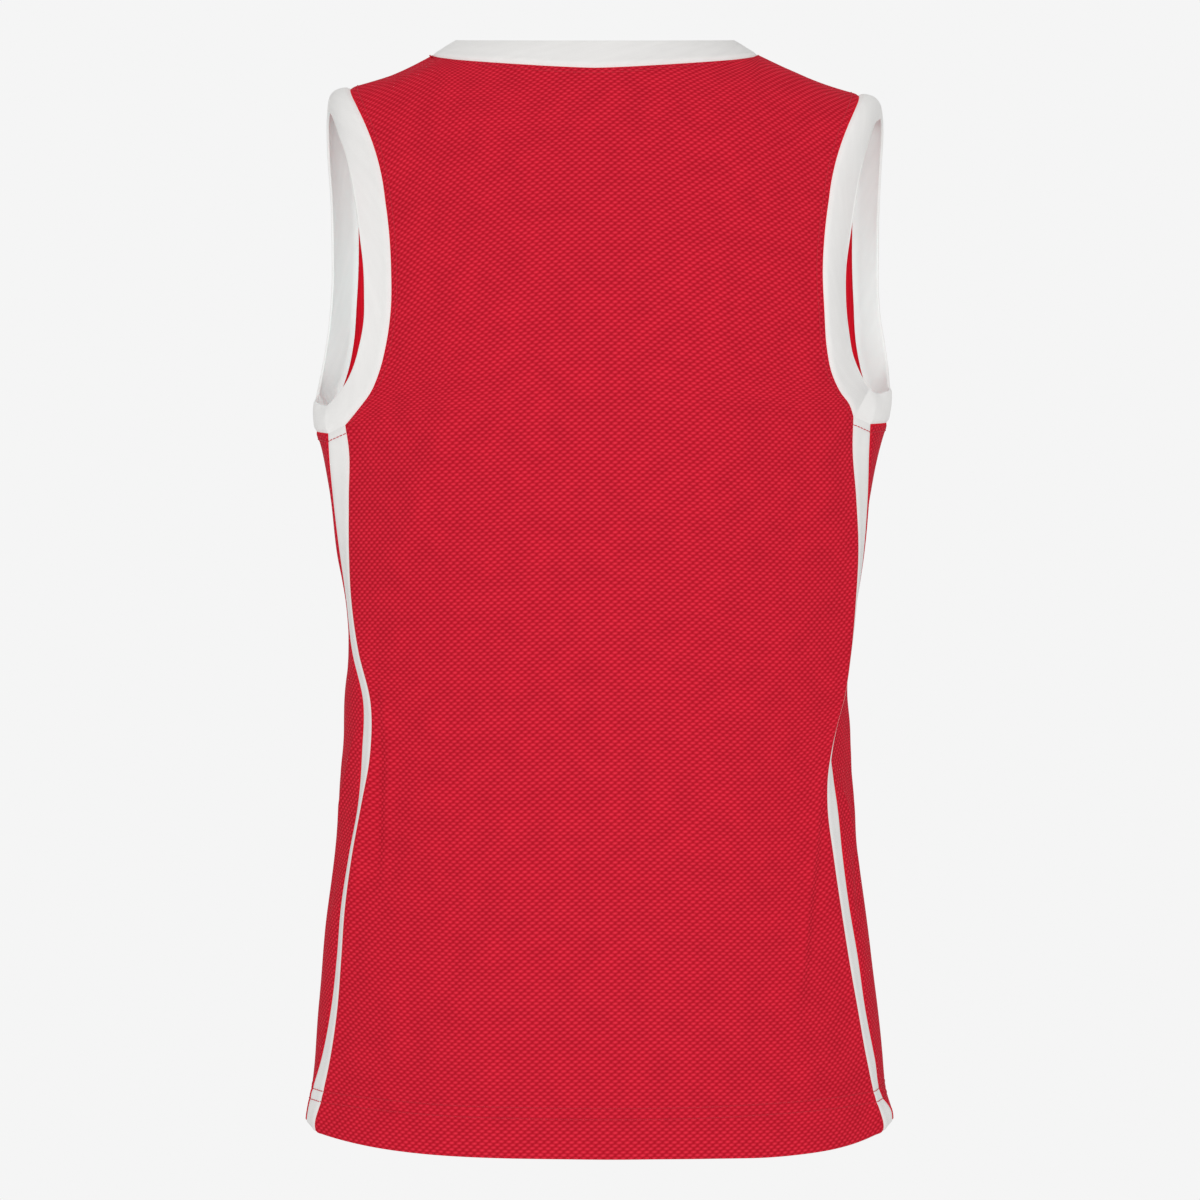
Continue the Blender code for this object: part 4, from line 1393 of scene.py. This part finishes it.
def clouded_material(name, colour, roughness, specular, noise_rate, dark, bright):
    """A material whose colour goes between two brightnesses with a noise over the object.

    The noise has a scale and a detail, and each brightness is a noise level and a share.
    """
    made, tree, shader = start_material(name, colour, roughness, specular)
    place = tree.nodes.new("ShaderNodeTexCoord").outputs["Object"]
    noise = noise_over(tree, place, *noise_rate)
    stops = [(at, tuple(share * part for part in colour)) for at, share in (dark, bright)]
    tree.links.new(ramp(tree, noise.outputs["Fac"], *stops), shader.inputs["Base Color"])
    return made


def length_property(name, description, default, low, high):
    """A property for a length in metres."""
    return FloatProperty(
        name=name, description=description, default=default, min=low, max=high,
        precision=5, subtype="DISTANCE", unit="LENGTH",
    )


def colour_property(name, description, default):
    """A property for a colour."""
    return FloatVectorProperty(
        name=name, description=description, default=default,
        min=0.0, max=1.0, size=3, subtype="COLOR",
    )


class JerseyCut(PropertyGroup):
    """Walls and widths of the cut cloth."""

    wall: length_property("Cloth wall", "Thickness of the mesh knit", 0.0015, 0.0005, 0.003)
    hem_wall: length_property("Hem wall", "Thickness of the turned-up hem", 0.0024, 0.001, 0.005)
    hem_depth: length_property("Hem depth", "Depth of the turned-up hem", 0.0335, 0.01, 0.06)
    band_wall: length_property("Band wall", "Thickness of the rib bands", 0.0022, 0.001, 0.004)
    stripe_width: length_property("Stripe width", "Width of the side stripes", 0.018, 0.008, 0.03)
    dip: length_property("Seam dip", "How far the cloth dips at a seam", 0.0007, 0.0, 0.002)
    fold: FloatProperty(
        name="Crease strength", description="Height of the creases, as a share of their tables",
        default=1.3, min=0.0, max=2.0,
    )


class JerseyKnit(PropertyGroup):
    """Pitches of the knits."""

    dot_pitch: length_property("Dot pitch", "From dot to dot in a row", 0.0053, 0.002, 0.02)
    row_pitch: length_property("Row pitch", "From one row of dots to another", 0.00215, 0.001, 0.01)
    dot_height: length_property("Dot height", "Height of a dot above a pit", 0.00035, 0.0, 0.001)
    wale_pitch: length_property("Wale pitch", "Pitch of the stripes' wales", 0.0009, 0.0004, 0.003)
    rib_pitch: length_property("Rib pitch", "Pitch of the bands' ribs", 0.0012, 0.0005, 0.004)


class JerseySewing(PropertyGroup):
    """Rows of stitches."""

    pitch: length_property("Stitch pitch", "From one stitch to the next", 0.0033, 0.001, 0.01)
    length: length_property("Stitch length", "How much of one stitch shows", 0.0031, 0.0005, 0.009)
    thickness: length_property("Thread", "Thickness of the thread", 0.0006, 0.0001, 0.002)
    seam_offset: length_property("Seam offset", "From a seam to its topstitch", 0.0057, 0.002, 0.02)
    line_low: length_property("Lower hem line", "Lower stitches above the hem", 0.0259, 0.005, 0.05)
    line_high: length_property("Upper hem line", "Upper line above the hem", 0.0332, 0.005, 0.06)


class JerseyFinish(PropertyGroup):
    """Colours of the cloth and the thread."""

    # The dots' colour holds a painted highlight and the pits' colour painted shade; the knit's own
    # red lies between them
    knit_dot_highlit: colour_property("Knit dots", "Raised dots of the red knit", (0.785, 0.028, 0.058))
    knit_pit_shaded: colour_property("Knit pits", "Pits between the dots", (0.43, 0.007, 0.019))
    knit_edge: colour_property("Knit edge", "Plain knit at seams and inside", (0.70, 0.008, 0.022))
    stripe: colour_property("Stripes", "White stripe knit", (0.82, 0.81, 0.795))
    rib: colour_property("Bands", "White rib knit", (0.88, 0.87, 0.855))
    thread: colour_property("Thread", "Red thread", (0.60, 0.03, 0.05))


class JerseyStage(PropertyGroup):
    """Studio light, floor and camera."""

    backdrop: colour_property("Backdrop", "Light all round the stage", (0.913, 0.913, 0.913))
    floor: colour_property("Floor", "Colour of the floor", (0.96, 0.96, 0.96))
    world_light: FloatProperty(
        name="World light", description="Share of the backdrop's light",
        default=0.8, min=0.0, max=2.0,
    )
    key_power: FloatProperty(
        name="Key lights", description="Power of each soft light",
        default=6.2, min=0.0, unit="POWER",
    )
    inside_power: FloatProperty(
        name="Inside lights", description="Power of each inside light",
        default=0.13, min=0.0, unit="POWER",
    )
    inside_colour: colour_property("Inside colour", "Colour of the inside lights", (0.5, 1.0, 1.0))
    floor_height: FloatProperty(
        name="Floor height", description="Height of the floor", default=-1.75, unit="LENGTH"
    )
    camera_distance: length_property("Camera distance", "From camera to jersey", 2.25, 0.5, 10.0)
    camera_height: FloatProperty(
        name="Camera height", description="Height of the camera", default=-0.371, unit="LENGTH"
    )
    lens: FloatProperty(name="Lens", description="Focal length", default=95.07, min=20.0, max=300.0)


def sizes_of(context):
    """The cut's sizes in millimetres."""
    cut, sewing = context.scene.jersey_cut, context.scene.jersey_sewing
    sizes = (
        cut.wall / MM, cut.hem_wall / MM, cut.hem_depth / MM, cut.band_wall / MM,
        cut.stripe_width / MM, cut.dip / MM, cut.fold, sewing.line_low / MM, sewing.line_high / MM,
    )
    return Sizes(*(round(size, 4) for size in sizes))


class JERSEY_OT_panels(Operator):
    """Build the back and front panels"""

    bl_idname = "jersey.panels"
    bl_label = "Panels"

    def execute(self, context):
        knit = knit_of(context, "red birdseye knit")
        for node in ("back_panel", "front_panel"):
            build_cloth(context, node, knit)
        return {"FINISHED"}


class JERSEY_OT_inserts(Operator):
    """Build the two side inserts"""

    bl_idname = "jersey.inserts"
    bl_label = "Side inserts"

    def execute(self, context):
        knit = knit_of(context, "red birdseye knit")
        for node in ("side_insert_left", "side_insert_right"):
            build_cloth(context, node, knit)
        return {"FINISHED"}


class JERSEY_OT_stripes(Operator):
    """Build the four side stripes"""

    bl_idname = "jersey.stripes"
    bl_label = "Stripes"

    def execute(self, context):
        knit = knit_of(context, "white stripe knit")
        for face in ("front", "back"):
            for side in ("left", "right"):
                build_cloth(context, f"stripe_{face}_{side}", knit)
        return {"FINISHED"}


class JERSEY_OT_bands(Operator):
    """Build the neck band and the two armhole bands"""

    bl_idname = "jersey.bands"
    bl_label = "Rib bands"

    def execute(self, context):
        knit = knit_of(context, "white rib knit")
        for node in ("neck_band", "armhole_band_left", "armhole_band_right"):
            build_cloth(context, node, knit)
        return {"FINISHED"}


class JERSEY_OT_stitching(Operator):
    """Sew the topstitching round the hem, the armholes and the neck"""

    bl_idname = "jersey.stitching"
    bl_label = "Stitching"

    def execute(self, context):
        pieces = cut_jersey(sizes_of(context))
        sewing = context.scene.jersey_sewing
        offset = sewing.seam_offset / MM
        colour = context.scene.jersey_finish.thread
        dark, bright = (0.35, 0.75), (0.65, 1.0)
        thread = clouded_material("red thread", colour, 0.6, 0.1, (900.0, 2.0), dark, bright)
        heights = (sewing.line_low / MM, sewing.line_high / MM)
        lines = [hem_stitch_path(pieces, height) for height in heights]
        build_stitching(context, "hem_stitches", lines, thread)
        for side in ("left", "right"):
            path = armhole_stitch_path(pieces, side, offset)
            build_stitching(context, f"armhole_stitches_{side}", [path], thread)
        build_stitching(context, "neck_stitches", [neck_stitch_path(pieces, offset)], thread)
        return {"FINISHED"}


def floor_disc(height):
    """Points and faces of a flat disc: rings of points, joined to the next ring by quads."""
    rings, spokes = FLOOR_RINGS + 1, FLOOR_SPOKES + 1
    radius = np.linspace(0, FLOOR_RADIUS, rings)[:, None] * np.ones(spokes)
    turn = np.linspace(0, 2 * np.pi, spokes)[None] * np.ones((rings, 1))
    level = np.full_like(radius, height)
    points = np.stack([radius * np.cos(turn), radius * np.sin(turn), level], axis=-1)
    corner = np.arange(FLOOR_RINGS)[:, None] * spokes + np.arange(FLOOR_SPOKES)[None]
    quads = np.stack([corner, corner + spokes, corner + spokes + 1, corner + 1], axis=-1)
    return points.reshape(-1, 3), quads.reshape(-1, 4).tolist()


def place_light(scene, light, place):
    """A light's object at its place, which the camera doesn't see."""
    made = bpy.data.objects.new(light.name, light)
    made.location = place
    made.visible_camera = False
    scene.collection.objects.link(made)
    return made


def studio_world(stage):
    """Pale backdrop whose own light on the jersey is a little softer than it looks."""
    world = bpy.data.worlds.new("studio")
    world.use_nodes = True
    tree = world.node_tree
    seen = tree.nodes["Background"]
    seen.inputs["Color"].default_value = (*stage.backdrop, 1.0)
    light = tree.nodes.new("ShaderNodeBackground")
    light.inputs["Color"].default_value = (*stage.backdrop, 1.0)
    light.inputs["Strength"].default_value = stage.world_light
    mix = tree.nodes.new("ShaderNodeMixShader")
    path = tree.nodes.new("ShaderNodeLightPath")
    tree.links.new(path.outputs["Is Camera Ray"], mix.inputs["Fac"])
    tree.links.new(light.outputs[0], mix.inputs[1])
    tree.links.new(seen.outputs[0], mix.inputs[2])
    tree.links.new(mix.outputs[0], tree.nodes["World Output"].inputs["Surface"])
    return world


class JERSEY_OT_stage(Operator):
    """Set up the floor, the soft lights, the backdrop and the camera"""

    bl_idname = "jersey.stage"
    bl_label = "Stage"

    def execute(self, context):
        scene, stage = context.scene, context.scene.jersey_stage
        dark, bright = (0.3, 0.995), (0.7, 1.005)
        pale = clouded_material("pale floor", stage.floor, 0.95, 0.0, (1.5, 3.0), dark, bright)
        points, quads = floor_disc(stage.floor_height)
        link_mesh("floor", points, quads, pale)
        for name, place in SOFT_LIGHTS:
            light = bpy.data.lights.new(name, "AREA")
            light.shape = "SQUARE"
            light.size = SOFT_SIZE
            light.spread = SOFT_SPREAD
            light.energy = stage.key_power
            made = place_light(scene, light, place)
            aim = Vector((0.0, 0.0, stage.camera_height)) - Vector(place)
            made.rotation_euler = aim.to_track_quat("-Z", "Y").to_euler()
        for name, place in INSIDE_LIGHTS:
            light = bpy.data.lights.new(name, "POINT")
            light.shadow_soft_size = INSIDE_RADIUS
            light.energy = stage.inside_power
            light.color = stage.inside_colour
            place_light(scene, light, place)
        scene.world = studio_world(stage)
        camera = bpy.data.cameras.new("camera")
        camera.sensor_width = 36.0
        camera.lens = stage.lens
        camera.dof.use_dof = False
        made = bpy.data.objects.new("camera", camera)
        made.location = (0.0, stage.camera_distance, stage.camera_height)
        made.rotation_euler = (np.pi / 2, 0.0, np.pi)
        scene.collection.objects.link(made)
        scene.camera = made
        scene.view_settings.view_transform = "Standard"
        return {"FINISHED"}


class JERSEY_PT_sidebar(Panel):
    """The jersey's sizes, colours and builders"""

    bl_idname = "JERSEY_PT_sidebar"
    bl_label = "Basketball Jersey"
    bl_space_type = "VIEW_3D"
    bl_region_type = "UI"
    bl_category = "Jersey"

    def draw(self, context):
        layout = self.layout
        for group in GROUPS:
            box = layout.box()
            box.label(text=group.__doc__)
            for name in group.__annotations__:
                box.prop(getattr(context.scene, GROUPS[group]), name)
        for operator in OPERATORS:
            layout.operator(operator.bl_idname)


GROUPS = {
    JerseyCut: "jersey_cut",
    JerseyKnit: "jersey_knit",
    JerseySewing: "jersey_sewing",
    JerseyFinish: "jersey_finish",
    JerseyStage: "jersey_stage",
}
OPERATORS = (
    JERSEY_OT_panels,
    JERSEY_OT_inserts,
    JERSEY_OT_stripes,
    JERSEY_OT_bands,
    JERSEY_OT_stitching,
    JERSEY_OT_stage,
)


def register():
    """Registers the classes and hangs their properties on the scene."""
    for made in (*GROUPS, *OPERATORS, JERSEY_PT_sidebar):
        bpy.utils.register_class(made)
    for group, name in GROUPS.items():
        setattr(bpy.types.Scene, name, PointerProperty(type=group))


def unregister():
    """Takes the properties and the classes away again."""
    for name in GROUPS.values():
        delattr(bpy.types.Scene, name)
    for made in reversed((*GROUPS, *OPERATORS, JERSEY_PT_sidebar)):
        bpy.utils.unregister_class(made)


def main():
    """Builds every piece and the stage."""
    register()
    bpy.ops.jersey.panels()
    bpy.ops.jersey.inserts()
    bpy.ops.jersey.stripes()
    bpy.ops.jersey.bands()
    bpy.ops.jersey.stitching()
    bpy.ops.jersey.stage()


if __name__ == "__main__":
    main()
